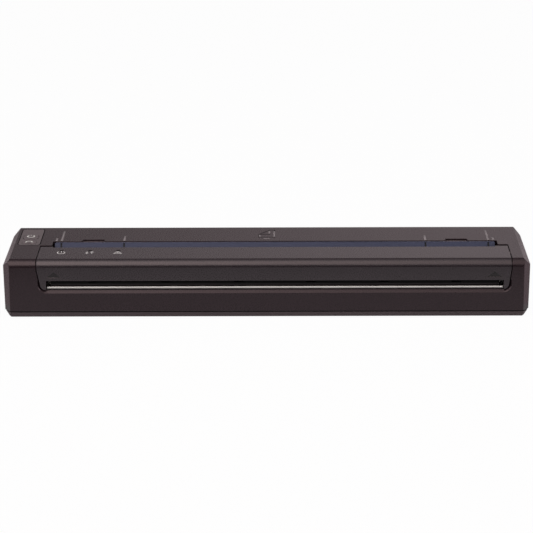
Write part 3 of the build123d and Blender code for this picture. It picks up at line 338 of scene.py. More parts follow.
# %% Card maker
def card(name, heights, depths, across, stops=()):
    """A flat card from its near, low edge to its far, high edge, with spans in metres. It is black, or
    it glows in colours worked out from stops of (X, colour) across it."""
    (low, high), (near, far), (left, right) = heights, depths, across
    mesh = bpy.data.meshes.new(name)
    corners = [(left, near, low), (right, near, low), (right, far, high), (left, far, high)]
    mesh.from_pydata(corners, [], [(0, 1, 2, 3)])
    made = bpy.data.objects.new(name, mesh)
    bpy.context.scene.collection.objects.link(made)
    finish = Finish(name, Base_Color=(0.0, 0.0, 0.0, 1.0), Specular_IOR_Level=0.0)
    finish.shader.inputs["Emission Strength"].default_value = 1.0 if stops else 0.0
    if stops:
        share = (finish.along("X") - left) * (1.0 / (right - left))
        spread = [((x - left) / (right - left), colour) for x, colour in stops]
        glow = finish.node("ShaderNodeValToRGB", {"stops": spread}, {"Fac": share}, "Color")
        finish.set(Emission_Color=glow)
    mesh.materials.append(finish.material)
    made.visible_camera = made.visible_diffuse = made.visible_shadow = False


def graded(levels, tint):
    """Stops for a card whose brightness changes along X, from pairs of (X, level)."""
    return [(x, shade(tint, level)[:3]) for x, level in levels]


def even(level, tint, across):
    """Stops for a card of one brightness."""
    return graded([(x, level) for x in across], tint)


print("card maker ready")

# %% [markdown]
# ## Where the cards stand
# Their spans are heights, depths and widths in metres. The floor beside the printer is mirrored by the
# corner facets, so it gets warm cards of its own. The floor in front stays black up to the foot.

# %% Cards round the printer
WARM, TOP_TINT, SIDE_TINT = (1.0, 0.86, 0.89), (1.0, 0.90, 0.86), (1.0, 0.82, 0.87)
WALL_LEVELS = ((-1.1, 0.08), (-0.1, 0.46), (0.35, 0.66), (0.8, 0.54), (1.8, 0.18))
TOP_LEVELS = ((-1.0, 4.8), (-0.3, 4.1), (0.3, 1.5), (0.9, 0.6))
FAR_LEVEL, SIDE_LEVEL = 0.4, 0.98
ON_FLOOR = (0.003, 0.003)
BESIDE = (-0.105, 0.15)
WIDE, WIDER = (-2.2, 2.2), (-2.6, 2.6)
LEFT_SIDE, RIGHT_SIDE = (-2.6, -0.135), (0.135, 2.6)

card("front_card", (-0.02, 0.35), (-1.45, -1.45), WIDE)
card("back_card", (1.3, 1.6), (1.5, 0.1), WIDE, even(FAR_LEVEL, WARM, WIDE))
card("back_wall", (0.01, 1.5), (2.2, 2.2), WIDER, graded(WALL_LEVELS, WARM))
card("top_card", (0.5, 1.3), (-1.3, -0.35), (-1.2, 1.2), graded(TOP_LEVELS, TOP_TINT))
card("table_card", ON_FLOOR, (-1.45, BESIDE[0]), WIDE)
card("far_table_card", ON_FLOOR, (BESIDE[1], 2.19), WIDER, even(FAR_LEVEL, WARM, WIDER))
card("left_table_card", ON_FLOOR, BESIDE, LEFT_SIDE, even(SIDE_LEVEL, SIDE_TINT, LEFT_SIDE))
card("right_table_card", ON_FLOOR, BESIDE, RIGHT_SIDE, even(SIDE_LEVEL, SIDE_TINT, RIGHT_SIDE))
print("8 cards, seen only in reflections")

# %% [markdown]
# ## Moulded plastics
# The case is injection moulded with a fine spark-eroded grain: tiny pits, shallower than a tenth of a
# millimetre, that scatter light and hide scratches. A picture of grain would slide or stretch, so
# the grain is noise in the part's own space. The mould's edges are never sharp; the Bevel node rounds
# the shading of each edge by a fraction of a millimetre, and the finger-worn edges are a little lighter.

# %% Moulded plastic
SPECK_SHARE, SPECK_PALE, WORN_PALE = 0.5, 1.35, 2.2
CLOUD_SIZE = 22 * MM


def moulded(name, colour, rough=0.5, grain=0.28, depth=0.02, edge=0.35, specular=0.15, worn=0.25,
            mottle=0.06, sheen=(1.0, 1.0, 1.0), shade_and_light_mask=None, shade_and_light_colour=None):
    """A grained plastic. The sizes of the grain, its depth and the soft edge are in mm, and sheen is the
    colour of what it mirrors straight on. An optional mask paints shade, and on the notch floors light:
    1 where that colour of painted shade or painted light takes the place of the plastic's own."""
    finish = Finish(name, Specular_IOR_Level=specular, Specular_Tint=(*sheen, 1.0))
    fine, cloud = finish.noise(grain * MM, 2.0), finish.noise(CLOUD_SIZE, 3.0)
    rounded = finish.soft_edge(edge * MM)
    straight = finish.node("ShaderNodeNewGeometry", {}, {}, "Normal")
    dot = {"operation": "DOT_PRODUCT"}
    agree = finish.node("ShaderNodeVectorMath", dot, {0: rounded, 1: straight}, "Value")
    at_edge = (1.0 - agree) * worn
    base = finish.blend(cloud, shade(colour, 1.0 - mottle), shade(colour, 1.0 + mottle))
    speckled = finish.blend((fine - 0.5) * SPECK_SHARE, base, shade(colour, SPECK_PALE))
    coloured = finish.blend(at_edge, speckled, shade(colour, WORN_PALE))
    # painted shade in recesses, and painted light on the notch floors, over the plastic's own colour
    if shade_and_light_mask:
        coloured = finish.blend(shade_and_light_mask(finish), coloured, shade_and_light_colour)
    return finish.set(
        Base_Color=coloured,
        Roughness=rough + (fine - 0.5) * 0.16 + (cloud - 0.5) * 0.06,
        Normal=finish.bump(fine, depth * MM, rounded),
    )


print("grained plastic ready")

# %% [markdown]
# ## Painted shade and painted light in narrow places
# Some narrow recesses are always in shade, and that shade is painted: their colour is made darker. The
# floors of two notches catch more light than the walls beside them, and that light is painted: their
# colour is made paler. Each gets a mask, worked out from the box of its own solid: 1 inside a slab of
# space and 0 elsewhere, so a place is the product of a few comparisons.

# %% Masks
LARGE_SHEET, SMALL_SHEET = 210.0 * MM, 148.0 * MM
MARK_WIDTH, GROOVE_WIDTH = 0.9 * MM, 0.86 * MM
TRIANGLE_INSET, TRIANGLE_WIDTH, TRIANGLE_HEIGHT = 4.2 * MM, 8.0 * MM, 5.0 * MM
TRIANGLE_FLOOR = (0.12 * MM, 0.70 * MM)
SLOT_RISE = 1.35 * MM
NOTCH_PLACE, NOTCH_HALF, NOTCH_FRONT = 89.75 * MM, 5.9 * MM, 3.0 * MM
NOTCH_DEPTH, NOTCH_SLACK = 1.0 * MM, 0.1 * MM
LIP_SHADE, EDGE_SHADE, PARTING_SHADE = 1.1 * MM, 0.30 * MM, 0.65 * MM


def top_of(node):
    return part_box(node)[1].z


def middle_of(node, axis=0):
    low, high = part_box(node)
    return (low[axis] + high[axis]) / 2


def from_middle(finish, node):
    """The distance along X from the middle of a solid, to either side."""
    return (finish.along("X") - middle_of(node)).math("ABSOLUTE")


def triangle_floor_shade(finish):
    """Painted shade on the floors of the two sunk triangles on the cover's front, just above the ends of the
    slot.
    """
    low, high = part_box("release_cover")
    slot_top = top_of("head_strip") + SLOT_RISE
    inner, outer = TRIANGLE_INSET + TRIANGLE_WIDTH, TRIANGLE_INSET
    sunk = between(finish.along("Y"), low.y + TRIANGLE_FLOOR[0], low.y + TRIANGLE_FLOOR[1])
    above_slot = between(finish.along("Z"), slot_top, slot_top + TRIANGLE_HEIGHT)
    left = between(finish.along("X"), low.x + outer, low.x + inner)
    right = between(finish.along("X"), high.x - inner, high.x - outer)
    return sunk * above_slot * (left + right)


def guide_groove_shade(finish):
    """Painted shade in the four grooves of the sheet widths across the coloured guide."""
    across = from_middle(finish, "feed_guide")
    mask = 0.0
    for sheet in (LARGE_SHEET, SMALL_SHEET):
        half = (sheet + MARK_WIDTH) / 2
        mask = between(across, half - GROOVE_WIDTH / 2, half + GROOVE_WIDTH / 2) + mask
    return mask


def notch_floor_light(finish):
    """Painted light on the floors of the two finger notches in the rear edge of the paper opening: they are
    made paler than the housing, as if lit.
    """
    level = top_of("main_housing") - NOTCH_DEPTH
    from_notch = (from_middle(finish, "feed_guide") - NOTCH_PLACE).math("ABSOLUTE")
    floor = between(finish.along("Z"), level - NOTCH_SLACK, level + NOTCH_SLACK)
    return from_notch.under(NOTCH_HALF) * floor * finish.along("Y").over(NOTCH_FRONT)


def under_lip(finish):
    """The upper part of the exit guide, where the cover's lip shades it."""
    return finish.along("Z").over(top_of("exit_guide") - LIP_SHADE)


def cutting_edge(finish):
    """The bevelled edge along the top of the tear bar, which lies in the lip's shade."""
    return finish.along("Z").over(top_of("tear_bar") - EDGE_SHADE)


def parting_groove_shade(finish):
    """Painted shade in the narrow groove between the tray and the housing, and on a thin band of the tray
    just below it.
    """
    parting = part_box("main_housing")[0].z
    return between(finish.along("Z"), parting - PARTING_SHADE, parting)


print("6 masks ready")

# %% [markdown]
# ## The printer's plastics
# All the dark plastics are close to black. They differ in how rough they are and in how much they
# mirror: the cover is handled most and shines most, the tray is plain and pale, the guide is blue.

# %% Plastics
HOUSING_COLOUR, HOUSING_SHEEN = (0.0118, 0.0068, 0.0086), (1.0, 0.84, 0.88)
COVER_COLOUR, COVER_SHEEN = (0.0142, 0.0106, 0.0128), (1.0, 0.9, 0.93)
# painted light: a paler colour for the floors of the notches, which their walls shade
NOTCH_PAINTED_LIGHT = (0.0900, 0.0740, 0.0780)
TRAY_COLOUR = (0.0600, 0.0460, 0.0500)
KEYPAD_COLOUR = (0.1180, 0.1020, 0.1040)
GUIDE_COLOUR = (0.0320, 0.0400, 0.0770)
EXIT_COLOUR = (0.0200, 0.0170, 0.0185)
GEAR_COLOUR = (0.62, 0.61, 0.55)
SMOOTH = {"grain": 0.2, "depth": 0.006, "edge": 0.15}
TEXTURED = {"rough": 0.28, "grain": 0.5}
finishes = {
    "housing_plastic": moulded(
        "housing_plastic", HOUSING_COLOUR, **TEXTURED, depth=0.028, specular=0.30, sheen=HOUSING_SHEEN,
        shade_and_light_mask=notch_floor_light, shade_and_light_colour=shade(NOTCH_PAINTED_LIGHT, 1.0)),
    "cover_plastic": moulded(
        "cover_plastic", COVER_COLOUR, **TEXTURED, depth=0.022, specular=0.45, sheen=COVER_SHEEN,
        shade_and_light_mask=triangle_floor_shade, shade_and_light_colour=shade(COVER_COLOUR, 0.05)),
    "tray_plastic": moulded(
        "tray_plastic", TRAY_COLOUR, rough=0.45, shade_and_light_mask=parting_groove_shade, shade_and_light_colour=shade(TRAY_COLOUR, 0.1)),
    "keypad_plastic": moulded(
        "keypad_plastic", KEYPAD_COLOUR, rough=0.42, grain=0.2, depth=0.008, edge=0.25),
    "guide_plastic": moulded(
        "guide_plastic", GUIDE_COLOUR, rough=0.38, grain=0.6, depth=0.06, edge=0.2,
        shade_and_light_mask=guide_groove_shade, shade_and_light_colour=shade(GUIDE_COLOUR, 0.1)),
    "exit_plastic": moulded(
        "exit_plastic", EXIT_COLOUR, rough=0.55, specular=0.1, **SMOOTH,
        shade_and_light_mask=under_lip, shade_and_light_colour=shade(EXIT_COLOUR, 0.05)),
    "black_plastic": moulded(
        "black_plastic", (0.012, 0.011, 0.012), rough=0.55, specular=0.08, **SMOOTH),
    "gear_plastic": moulded(
        "gear_plastic", GEAR_COLOUR, rough=0.4, grain=0.2, depth=0.004, edge=0.08, worn=0.1),
    "lens_plastic": moulded(
        "lens_plastic", (0.002, 0.002, 0.0025), rough=0.4, grain=0.4, depth=0.002, edge=0.1, specular=0.02),
}
print("plastics:", len(finishes))

# %% [markdown]
# ## Rubber and metal
# Rubber is a dull cousin of the plastics: darker, rougher, with a coarser skin. Metals take their
# colour from what they mirror, so theirs is pale, and the look comes from the roughness. Sheet that was
# rolled or brushed carries fine streaks in one direction, which is noise stretched along that axis.

# %% Rubber and metal
def rubber(name, colour, grain=0.35):
    """A dull skin with a little dust. The size of its grain is in mm."""
    finish = Finish(name, Specular_IOR_Level=0.25)
    skin, dust = finish.noise(grain * MM, 3.0), finish.noise(6 * MM, 2.0)
    coloured = finish.blend(dust, shade(colour, 0.85), shade(colour, 1.3))
    normal = finish.bump(skin, 0.012 * MM, finish.soft_edge(0.2 * MM))
    return finish.set(Base_Color=coloured, Roughness=0.72 + (skin - 0.5) * 0.2, Normal=normal)


def streaked_metal(name, colour, rough=0.3, streak=(0.02, 1.0, 1.0), size=0.25, tint=0.1, shade_and_light_mask=None):
    """A metal with streaks along the axis whose stretch is small. Their size is in mm. An optional mask
    paints shade: 1 where the metal is made nearly black as painted shade."""
    finish = Finish(name, Metallic=1.0)
    line, cloud = finish.noise(size * MM, 2.0, streak), finish.noise(9 * MM, 2.0)
    coloured = finish.blend(cloud, shade(colour, 1.0 - tint), shade(colour, 1.0 + tint / 2))
    # painted shade: the part of the metal in the mask is made nearly black
    if shade_and_light_mask:
        coloured = finish.blend(shade_and_light_mask(finish), coloured, shade(colour, 0.05))
    return finish.set(
        Base_Color=coloured,
        Roughness=rough + (line - 0.5) * 0.2 + (cloud - 0.5) * 0.1,
        Normal=finish.bump(line, 0.003 * MM, finish.soft_edge(0.12 * MM)),
    )


ALONG_Z, AROUND_X = (1.0, 1.0, 0.1), (1.0, 0.2, 0.2)
finishes.update({
    "foot_rubber": rubber("foot_rubber", (0.016, 0.016, 0.017)),
    "platen_rubber": rubber("platen_rubber", (0.012, 0.012, 0.013), grain=0.2),
    "sheet_steel": streaked_metal("sheet_steel", (0.56, 0.56, 0.55), rough=0.36),
    "bright_steel": streaked_metal("bright_steel", (0.55, 0.53, 0.51), rough=0.34),
    "tear_bar_steel": streaked_metal("tear_bar_steel", (0.62, 0.60, 0.58), rough=0.34, shade_and_light_mask=cutting_edge),
    "screw_steel": streaked_metal("screw_steel", (0.22, 0.22, 0.225), rough=0.34, streak=ALONG_Z),
    "heat_sink_aluminium": streaked_metal("heat_sink_aluminium", (0.74, 0.745, 0.75), rough=0.33, size=0.4),
    "bushing_brass": streaked_metal("bushing_brass", (0.66, 0.50, 0.24), rough=0.28, streak=AROUND_X),
})
print("with rubbers and metals:", len(finishes))

# %% [markdown]
# ## Board, ceramic, film and battery wrap
# These parts sit inside and show when the cover or the battery door is open. Each has one regular
# feature that gives it away: a board has rows of copper tracks under green varnish, the heating strip a
# dark line where the paper is pressed, the flat cable its thin parallel wires, and the battery pack a
# shrunk film with wrinkles near its ends. Rows are a sine of the place, cut off by a mask.

# %% Patterned finishes
def rows(finish, axis, pitch, share):
    """1 on parallel lines across an axis, share of the pitch wide, and 0 between them."""
    wave = (finish.along(axis) * (2 * math.pi / pitch)).math("SINE")
    return wave.over(math.cos(math.pi * share))


def circuit_board():
    finish = Finish("circuit_board", Specular_IOR_Level=0.5, Coat_Roughness=0.15)
    across, lengthways = rows(finish, "Y", 1.3 * MM, 0.42), rows(finish, "X", 1.9 * MM, 0.3)
    cloud = finish.noise(7 * MM, 1.0)
    turned = cloud.over(0.5)
    track = across * turned + lengthways * (1.0 - turned)
    varnish = finish.blend(track, (0.006, 0.055, 0.022, 1.0), (0.016, 0.110, 0.040, 1.0))
    normal = finish.bump(track, 0.02 * MM, finish.soft_edge(0.1 * MM))
    return finish.set(Base_Color=varnish, Roughness=0.3 + (cloud - 0.5) * 0.1, Normal=normal, Coat_Weight=0.3)


def head_ceramic(line_place, line_width):
    """Glazed ceramic with the dark row of heating dots along the line where the paper is pressed."""
    finish = Finish("head_ceramic", Specular_IOR_Level=0.5)
    off_line = (finish.along("Y") - line_place).math("ABSOLUTE")
    dots = rows(finish, "X", 0.5 * MM, 0.7)
    line = off_line.under(line_width / 2) * (0.6 + dots * 0.4)
    cloud = finish.noise(5 * MM, 2.0)
    glaze = finish.blend(cloud, (0.55, 0.52, 0.46, 1.0), (0.66, 0.63, 0.57, 1.0))
    coloured = finish.blend(line, glaze, (0.05, 0.035, 0.03, 1.0))
    return finish.set(Base_Color=coloured, Roughness=0.16 + cloud * 0.08, Normal=finish.soft_edge(0.1 * MM))


def cable_film():
    finish = Finish("cable_film", Specular_IOR_Level=0.5)
    wire = rows(finish, "X", 1.0 * MM, 0.55)
    cloud = finish.noise(8 * MM, 2.0)
    coloured = finish.blend(wire, (0.42, 0.20, 0.045, 1.0), (0.60, 0.33, 0.12, 1.0))
    return finish.set(Base_Color=coloured, Roughness=0.25 + cloud * 0.1, Normal=finish.bump(wire, 0.03 * MM))


def battery_wrap():
    """Shrunk film: wrinkles along the pack that die out away from its ends."""
    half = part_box("battery_pack")[1].x - middle_of("battery_pack")
    finish = Finish("battery_wrap", Specular_IOR_Level=0.5, Coat_Roughness=0.12)
    wrinkle, cloud = finish.noise(2.2 * MM, 2.0, (0.15, 1.0, 1.0)), finish.noise(30 * MM, 2.0)
    outward = (from_middle(finish, "battery_pack") * (1.0 / half)).math("POWER", 6.0)
    height = wrinkle * (0.25 + outward * 0.75)
    coloured = finish.blend(cloud, (0.022, 0.036, 0.075, 1.0), (0.034, 0.052, 0.100, 1.0))
    normal = finish.bump(height, 0.25 * MM)
    return finish.set(Base_Color=coloured, Roughness=0.3 + wrinkle * 0.12, Normal=normal, Coat_Weight=0.5)


finishes.update({
    "circuit_board": circuit_board(),
    "head_ceramic": head_ceramic(middle_of("platen_rubber", axis=1), 0.7 * MM),
    "cable_film": cable_film(),
    "battery_wrap": battery_wrap(),
})
print("finishes:", len(finishes))

# %% [markdown]
# ## A finish for every solid
# The frame names a kind of material for each solid. Three solids have a place of painted shade that
# needs a mask, so each of them takes a finish of its own in place of the one that it would share.

# %% Finishes onto the solids
OWN_FINISH = {"base_tray": "tray_plastic", "exit_guide": "exit_plastic", "tear_bar": "tear_bar_steel"}
slots = {part["node"]: part["material_slot"] for part in frame["record"]["subparts"]}
for node, solid in nodes.items():
    solid.data.materials.clear()
    solid.data.materials.append(finishes[OWN_FINISH.get(node, slots[node])])
print("finishes put on", len(nodes), "solids")

# %% [markdown]
# ## Surfaces from grids
# New parts are worked out with numpy. Each is a grid of points: one direction goes along a path or
# round a centre, the other follows a small profile. Whole arrays are added and multiplied at once, which
# is quick and keeps the formula in view. The grid then becomes quads, and where it closes on itself
# or shrinks to a pole, points that lie together are merged.

# %% From a grid to a mesh
MERGE_REACH = 0.0005 * MM


def grid_faces(shape, close_rows, close_columns, first=0):
    """The quads of a grid of points, numbered row by row, wrapped round where a direction is closed."""
    count, width = shape
    number = np.arange(count * width).reshape(count, width) + first
    number = np.vstack([number, number[:1]]) if close_rows else number
    number = np.hstack([number, number[:, :1]]) if close_columns else number
    corners = [number[:-1, :-1], number[1:, :-1], number[1:, 1:], number[:-1, 1:]]
    return np.stack(corners, axis=-1).reshape(-1, 4)


def piece(name, grids, body, finish, replaces=()):
    """A new object from (points, close_rows, close_columns) grids, riding on a body of the frame."""
    points, faces, first = [], [], 0
    for grid, close_rows, close_columns in grids:
        points.append(grid.reshape(-1, 3))
        faces.append(grid_faces(grid.shape[:2], close_rows, close_columns, first))
        first += len(points[-1])
    mesh = bpy.data.meshes.new(name)
    mesh.from_pydata(np.vstack(points).tolist(), [], np.vstack(faces).tolist())
    work = bmesh.new()
    work.from_mesh(mesh)
    bmesh.ops.remove_doubles(work, verts=work.verts, dist=MERGE_REACH)
    bmesh.ops.recalc_face_normals(work, faces=work.faces)
    work.to_mesh(mesh)
    work.free()
    mesh.polygons.foreach_set("use_smooth", np.full(len(mesh.polygons), True))
    mesh.materials.append(finish)
    made = bpy.data.objects.new(name, mesh)
    bpy.context.scene.collection.objects.link(made)
    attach(made, body)
    if replaces:
        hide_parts(*replaces)
    print(name, "has", len(mesh.polygons), "faces and rides on", body)


print("helpers for grids ready")


# %% [markdown]
# ## Lines and turned forms
# Nearly all that is added is one of two forms. A ridge is a low line with a rounded top that follows a
# flat path. A turned form has rings round an upright axis, and the rings can be ellipses or rounded
# rectangles. Their sizes are given in millimetres from a centre, so each sign reads as on squared paper.

# %% Lines and turned forms
RIDGE_ACROSS = np.array([0.0, -1.0, -1.0, -0.8, 0.0, 0.8, 1.0, 1.0, 0.0])
RIDGE_UP = np.array([0.5, 0.88, 1.0, 0.88, 0.5])
SHARPEST_TURN = 0.35


def placed(centre, points):
    """Points given in mm from a centre, as places on the printer."""
    return [(centre[0] + x * MM, centre[1] + y * MM) for x, y in points]


def ridge(path, level, width, height, closed=False, sink=0.02 * MM):
    """A low line along a flat path of (x, y) points. Its profile is carried along the path: each point
    moves sideways by a share of the half width, square to the path, and up to a share of the height.
    At a corner the sideways move is longer by 1 over the cosine of half the turn."""
    path = np.asarray(path, float)
    if closed:
        before, after = path - np.roll(path, 1, axis=0), np.roll(path, -1, axis=0) - path
    else:
        steps = np.diff(path, axis=0)
        before, after = np.vstack([steps[:1], steps]), np.vstack([steps, steps[-1:]])
    before = before / np.linalg.norm(before, axis=1, keepdims=True)
    after = after / np.linalg.norm(after, axis=1, keepdims=True)
    mean = before + after
    mean = mean / np.linalg.norm(mean, axis=1, keepdims=True)
    reach = 1.0 / np.clip((mean * after).sum(axis=1), SHARPEST_TURN, 1.0)
    side = np.stack([-mean[:, 1], mean[:, 0]], axis=1) * (reach * width / 2)[:, None]
    flat = path[:, None, :] + side[:, None, :] * RIDGE_ACROSS[None, :, None]
    up = np.concatenate([[-sink, -sink], height * RIDGE_UP, [-sink, -sink]])
    tall = np.broadcast_to(level + up, flat.shape[:2])[..., None]
    grid = np.concatenate([flat, tall], axis=-1)
    if not closed:
        ends = grid[[0, -1]] * 1.0
        ends[:, :] = ends.mean(axis=1, keepdims=True)
        grid = np.concatenate([ends[:1], grid, ends[1:]])
    return grid, closed, True


def arc(centre, radius, start, end, count=16):
    """Points on a circle's arc, from one angle to another in degrees."""
    turn = np.radians(np.linspace(start, end, count))
    return np.asarray(centre) + radius * np.stack([np.cos(turn), np.sin(turn)], axis=1)


def turned(centre, half, profile, corner=2.0, count=48):
    """A form round an upright axis: each profile point (share, z) gives a ring whose outline is
    |x/a|^n + |y/b|^n = share^n, so n = 2 is an ellipse and a larger n a rounded rectangle."""
    turn = np.linspace(0, 2 * math.pi, count, endpoint=False)
    curve = [np.sign(wave) * np.abs(wave) ** (2 / corner) for wave in (np.cos(turn), np.sin(turn))]
    share, z = np.asarray(profile, float).T
    x = centre[0] + half[0] * share[:, None] * curve[0]
    y = centre[1] + half[1] * share[:, None] * curve[1]
    return np.stack([x, y, np.broadcast_to(z[:, None], x.shape)], axis=-1), False, True


def slab(centre, half, top, foot, corner=2.0):
    """A flat turned form between two levels."""
    return turned(centre, half, [(0, top), (1, top), (1, foot), (0, foot)], corner)


print("helpers for lines and turned forms ready")

# %% [markdown]
# ## Sheet marks on the top
# Raised lines beside the paper opening show where the two sheet widths lie, with a small hook for the
# widest sheet. They could be printed or a bump in the material, but the real ones are moulded and
# catch the light, so they are low ridges whose pale colour is a painted highlight. Their places come
# from the paper centre and the sheet widths.

# %% Sheet marks
OPENING_EDGE, MARK_GAP, MARK_HEIGHT = 3.3 * MM, 0.6 * MM, 0.1 * MM
LARGE_MARK, SMALL_MARK, HOOK_MARK, HOOK_OUT = 16.5 * MM, 8.5 * MM, 5.0 * MM, 3.0 * MM
top_level = top_of("main_housing")
paper_centre = middle_of("feed_guide")
# painted highlight: a pale grey for the light that the moulded marks catch
highlight_finish = moulded("sheet_mark_highlights", (0.205, 0.190, 0.193), rough=0.4, specular=0.4, **SMOOTH)


def sheet_mark(x, reach):
    """A line toward the rear, from just behind the paper opening."""
    line = [(x, OPENING_EDGE + MARK_GAP), (x, OPENING_EDGE + reach)]
    return ridge(line, top_level, MARK_WIDTH, MARK_HEIGHT)


mark_lines = []
for side in (-1, 1):
    for sheet, reach in ((LARGE_SHEET, LARGE_MARK), (SMALL_SHEET, SMALL_MARK)):
        mark_lines.append(sheet_mark(paper_centre + side * (sheet + MARK_WIDTH) / 2, reach))
    mark_lines.append(sheet_mark(paper_centre + side * (LARGE_SHEET / 2 + HOOK_OUT), HOOK_MARK))
piece("sheet_mark_highlights", mark_lines, "base", highlight_finish)

# %% [markdown]
# ## Page sign
# A page with a folded corner shows which way the sheet goes in. Its lines are engraved; the shade in them
# is painted as low black lines, and where the light catches a wall, pale short lines beside the black
# are painted highlights.

# %% Page sign
PAGE_LEFT, PAGE_FRONT = 7.9 * MM, 9.4 * MM
ENGRAVED_LINE, ENGRAVED_HEIGHT = 0.5 * MM, 0.03 * MM
GLINT_LINE, GLINT_HEIGHT = 0.8 * MM, 0.1 * MM
PAGE = [(0, 0), (7.8, 0), (7.8, 12), (5.3, 12), (0, 4.8)]
FLAP = [(0, 4.8), (5.3, 4.8), (5.3, 12)]
GLINTS = [
    [(0.4, 0.8), (0.4, 4.0)],
    [(5.2, 6.2), (5.2, 10.4)],
    [(7.6, 0.8), (7.6, 10.2)],
    [(2.1, -2.3), (5.3, -2.3)],
]
page_corner = (paper_centre - PAGE_LEFT, PAGE_FRONT)
# painted shade: black for the shade in the engraved lines
engraved_shade_finish = moulded("page_sign_shade", (0.003, 0.0027, 0.0028), rough=0.7, specular=0.05, **SMOOTH)
page_lines = [
    ridge(placed(page_corner, PAGE), top_level, ENGRAVED_LINE, ENGRAVED_HEIGHT, closed=True),
    ridge(placed(page_corner, FLAP), top_level, ENGRAVED_LINE, ENGRAVED_HEIGHT),
]
piece("page_sign_shade", page_lines, "base", engraved_shade_finish)
# painted highlights: the glints take the pale finish of the sheet marks
glints = [ridge(placed(page_corner, path), top_level, GLINT_LINE, GLINT_HEIGHT) for path in GLINTS]
piece("page_glints", glints, "base", highlight_finish)

# %% [markdown]
# ## Upper edge of the guide
# The guide ends in a rounded edge that stands in front of the opening's rear wall, a little below the
# top. It catches the light along its whole length, which is painted as a paler blue than the guide's,
# so the wall behind it is seen only as a thin line.

# %% Guide edge
EDGE_WIDTH, EDGE_HEIGHT, EDGE_INSET = 0.5 * MM, 0.12 * MM, 0.3 * MM
EDGE_BELOW, EDGE_DROP, EDGE_OUT = 0.5 * MM, 0.7 * MM, 0.3 * MM
guide_low, guide_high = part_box("feed_guide")
edge_y = OPENING_EDGE - EDGE_OUT
edge_line = [(guide_low.x + EDGE_INSET, edge_y), (guide_high.x - EDGE_INSET, edge_y)]
# painted highlight: a paler blue than the guide for the light along the edge
edge_highlight_finish = moulded("guide_edge", (0.075, 0.081, 0.118), rough=0.38, grain=0.6, depth=0.03, edge=0.1)
guide_edge = ridge(edge_line, top_level - EDGE_BELOW, EDGE_WIDTH, EDGE_HEIGHT, sink=EDGE_DROP)
piece("guide_edge", [guide_edge], "base", edge_highlight_finish)

# %% [markdown]
# ## Keys
# The two keys are soft domes in the keypad plate: highest in the middle, falling off in a smooth curve
# to a rounded skirt. A flat block with a bevel would miss the slow change of shade across them, so each
# is a turned form whose rings are rounded rectangles and whose profile is a dome. Below the dome a
# collar fills the hole in the plate and a stem reaches down to the switch.

# %% Key caps
POWER_HALF, FEED_HALF = (3.6 * MM, 4.1 * MM), (3.5 * MM, 2.6 * MM)
KEY_CORNER, KEY_POINTS, COLLAR_CORNER = 3.6, 72, 8.0
DOME_RISE, DOME_BELOW, SKIRT_FOOT = 0.20 * MM, 0.02 * MM, 1.2 * MM
COLLAR_TOP, COLLAR_FOOT = 1.4 * MM, 0.8 * MM
STEM_HALF, STEM_TOP = (1.2 * MM, 1.2 * MM), 1.0 * MM


def dome(level, rise, foot, steps=14):
    """Profile of a dome: z = level - rise * share^2.4 from the middle out, then a skirt down to foot."""
    share = np.linspace(0.0, 0.97, steps)
    crown = np.stack([share, level - rise * share ** 2.4], axis=1)
    skirt = [(0.992, level - rise * 1.12), (1.0, level - rise * 1.6), (1.0, foot), (0.0, foot)]
    return np.vstack([crown, skirt])


def key_cap(name, node, body, half):
    """A domed key in place of the plain one. It returns the middle and the top of the plain key."""
    low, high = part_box(node)
    centre = (middle_of(node), middle_of(node, axis=1))
    profile = dome(high.z - DOME_BELOW, DOME_RISE, low.z + SKIRT_FOOT)
    cap = turned(centre, half, profile, KEY_CORNER, KEY_POINTS)
    hole = ((high.x - low.x) / 2, (high.y - low.y) / 2)
    collar = slab(centre, hole, low.z + COLLAR_TOP, low.z + COLLAR_FOOT, COLLAR_CORNER)
    stem = slab(centre, STEM_HALF, low.z + STEM_TOP, low.z)
    piece(name, [cap, collar, stem], body, finishes["keypad_plastic"], replaces=(node,))
    return centre, high.z


power_centre, power_top = key_cap("power_cap", "power_button", "power_key", POWER_HALF)
feed_centre, feed_top = key_cap("feed_cap", "feed_button", "feed_key", FEED_HALF)

# %% [markdown]
# ## Signs on the keys
# White ink, a few hundredths of a millimetre thick, is laid just under the top of the dome, so that
# only its upper side shows. The large key has a ring with a bar, the other a sheet with an arrow head.

# %% Signs on the keys
INK_LINE, INK_HEIGHT, INK_BELOW, INK_SINK = 0.62 * MM, 0.03 * MM, 0.06 * MM, 0.1 * MM
RING_RADIUS, RING_START, RING_END = 1.65 * MM, 125, 415
SHEET_OUTLINE = [(-1.7, -0.8), (-1.0, 1.0), (1.0, 1.0), (1.7, -0.8)]
ARROW_HEAD = [(-0.8, -0.4), (0, 0.4), (0.8, -0.4)]


def ink(name, colour, rough=0.45):
    """Printed ink, a little thinner in some places than in others."""
    finish = Finish(name, Specular_IOR_Level=0.3)
    patch = finish.noise(0.5 * MM, 2.0)
    coloured = finish.blend(patch, shade(colour, 0.86), shade(colour, 1.06))
    normal = finish.bump(patch, 0.004 * MM)
    return finish.set(Base_Color=coloured, Roughness=rough + (patch - 0.5) * 0.1, Normal=normal)


def key_sign(name, body, top, paths, finish):
    """Ink lines on a key whose plain top lies at the given level."""
    lines = [ridge(path, top - INK_BELOW, INK_LINE, INK_HEIGHT, sink=INK_SINK) for path in paths]
    piece(name, lines, body, finish)


white_ink = ink("white_ink", (0.78, 0.79, 0.76))
key_ink = ink("key_ink", (0.72, 0.76, 0.70))
ring = arc(power_centre, RING_RADIUS, RING_START, RING_END, 30)
bar = placed(power_centre, [(0, 0.4), (0, 2.0)])
key_sign("power_sign", "power_key", power_top, [ring, bar], key_ink)
feed_paths = [placed(feed_centre, SHEET_OUTLINE), placed(feed_centre, ARROW_HEAD)]
key_sign("feed_sign", "feed_key", feed_top, feed_paths, key_ink)

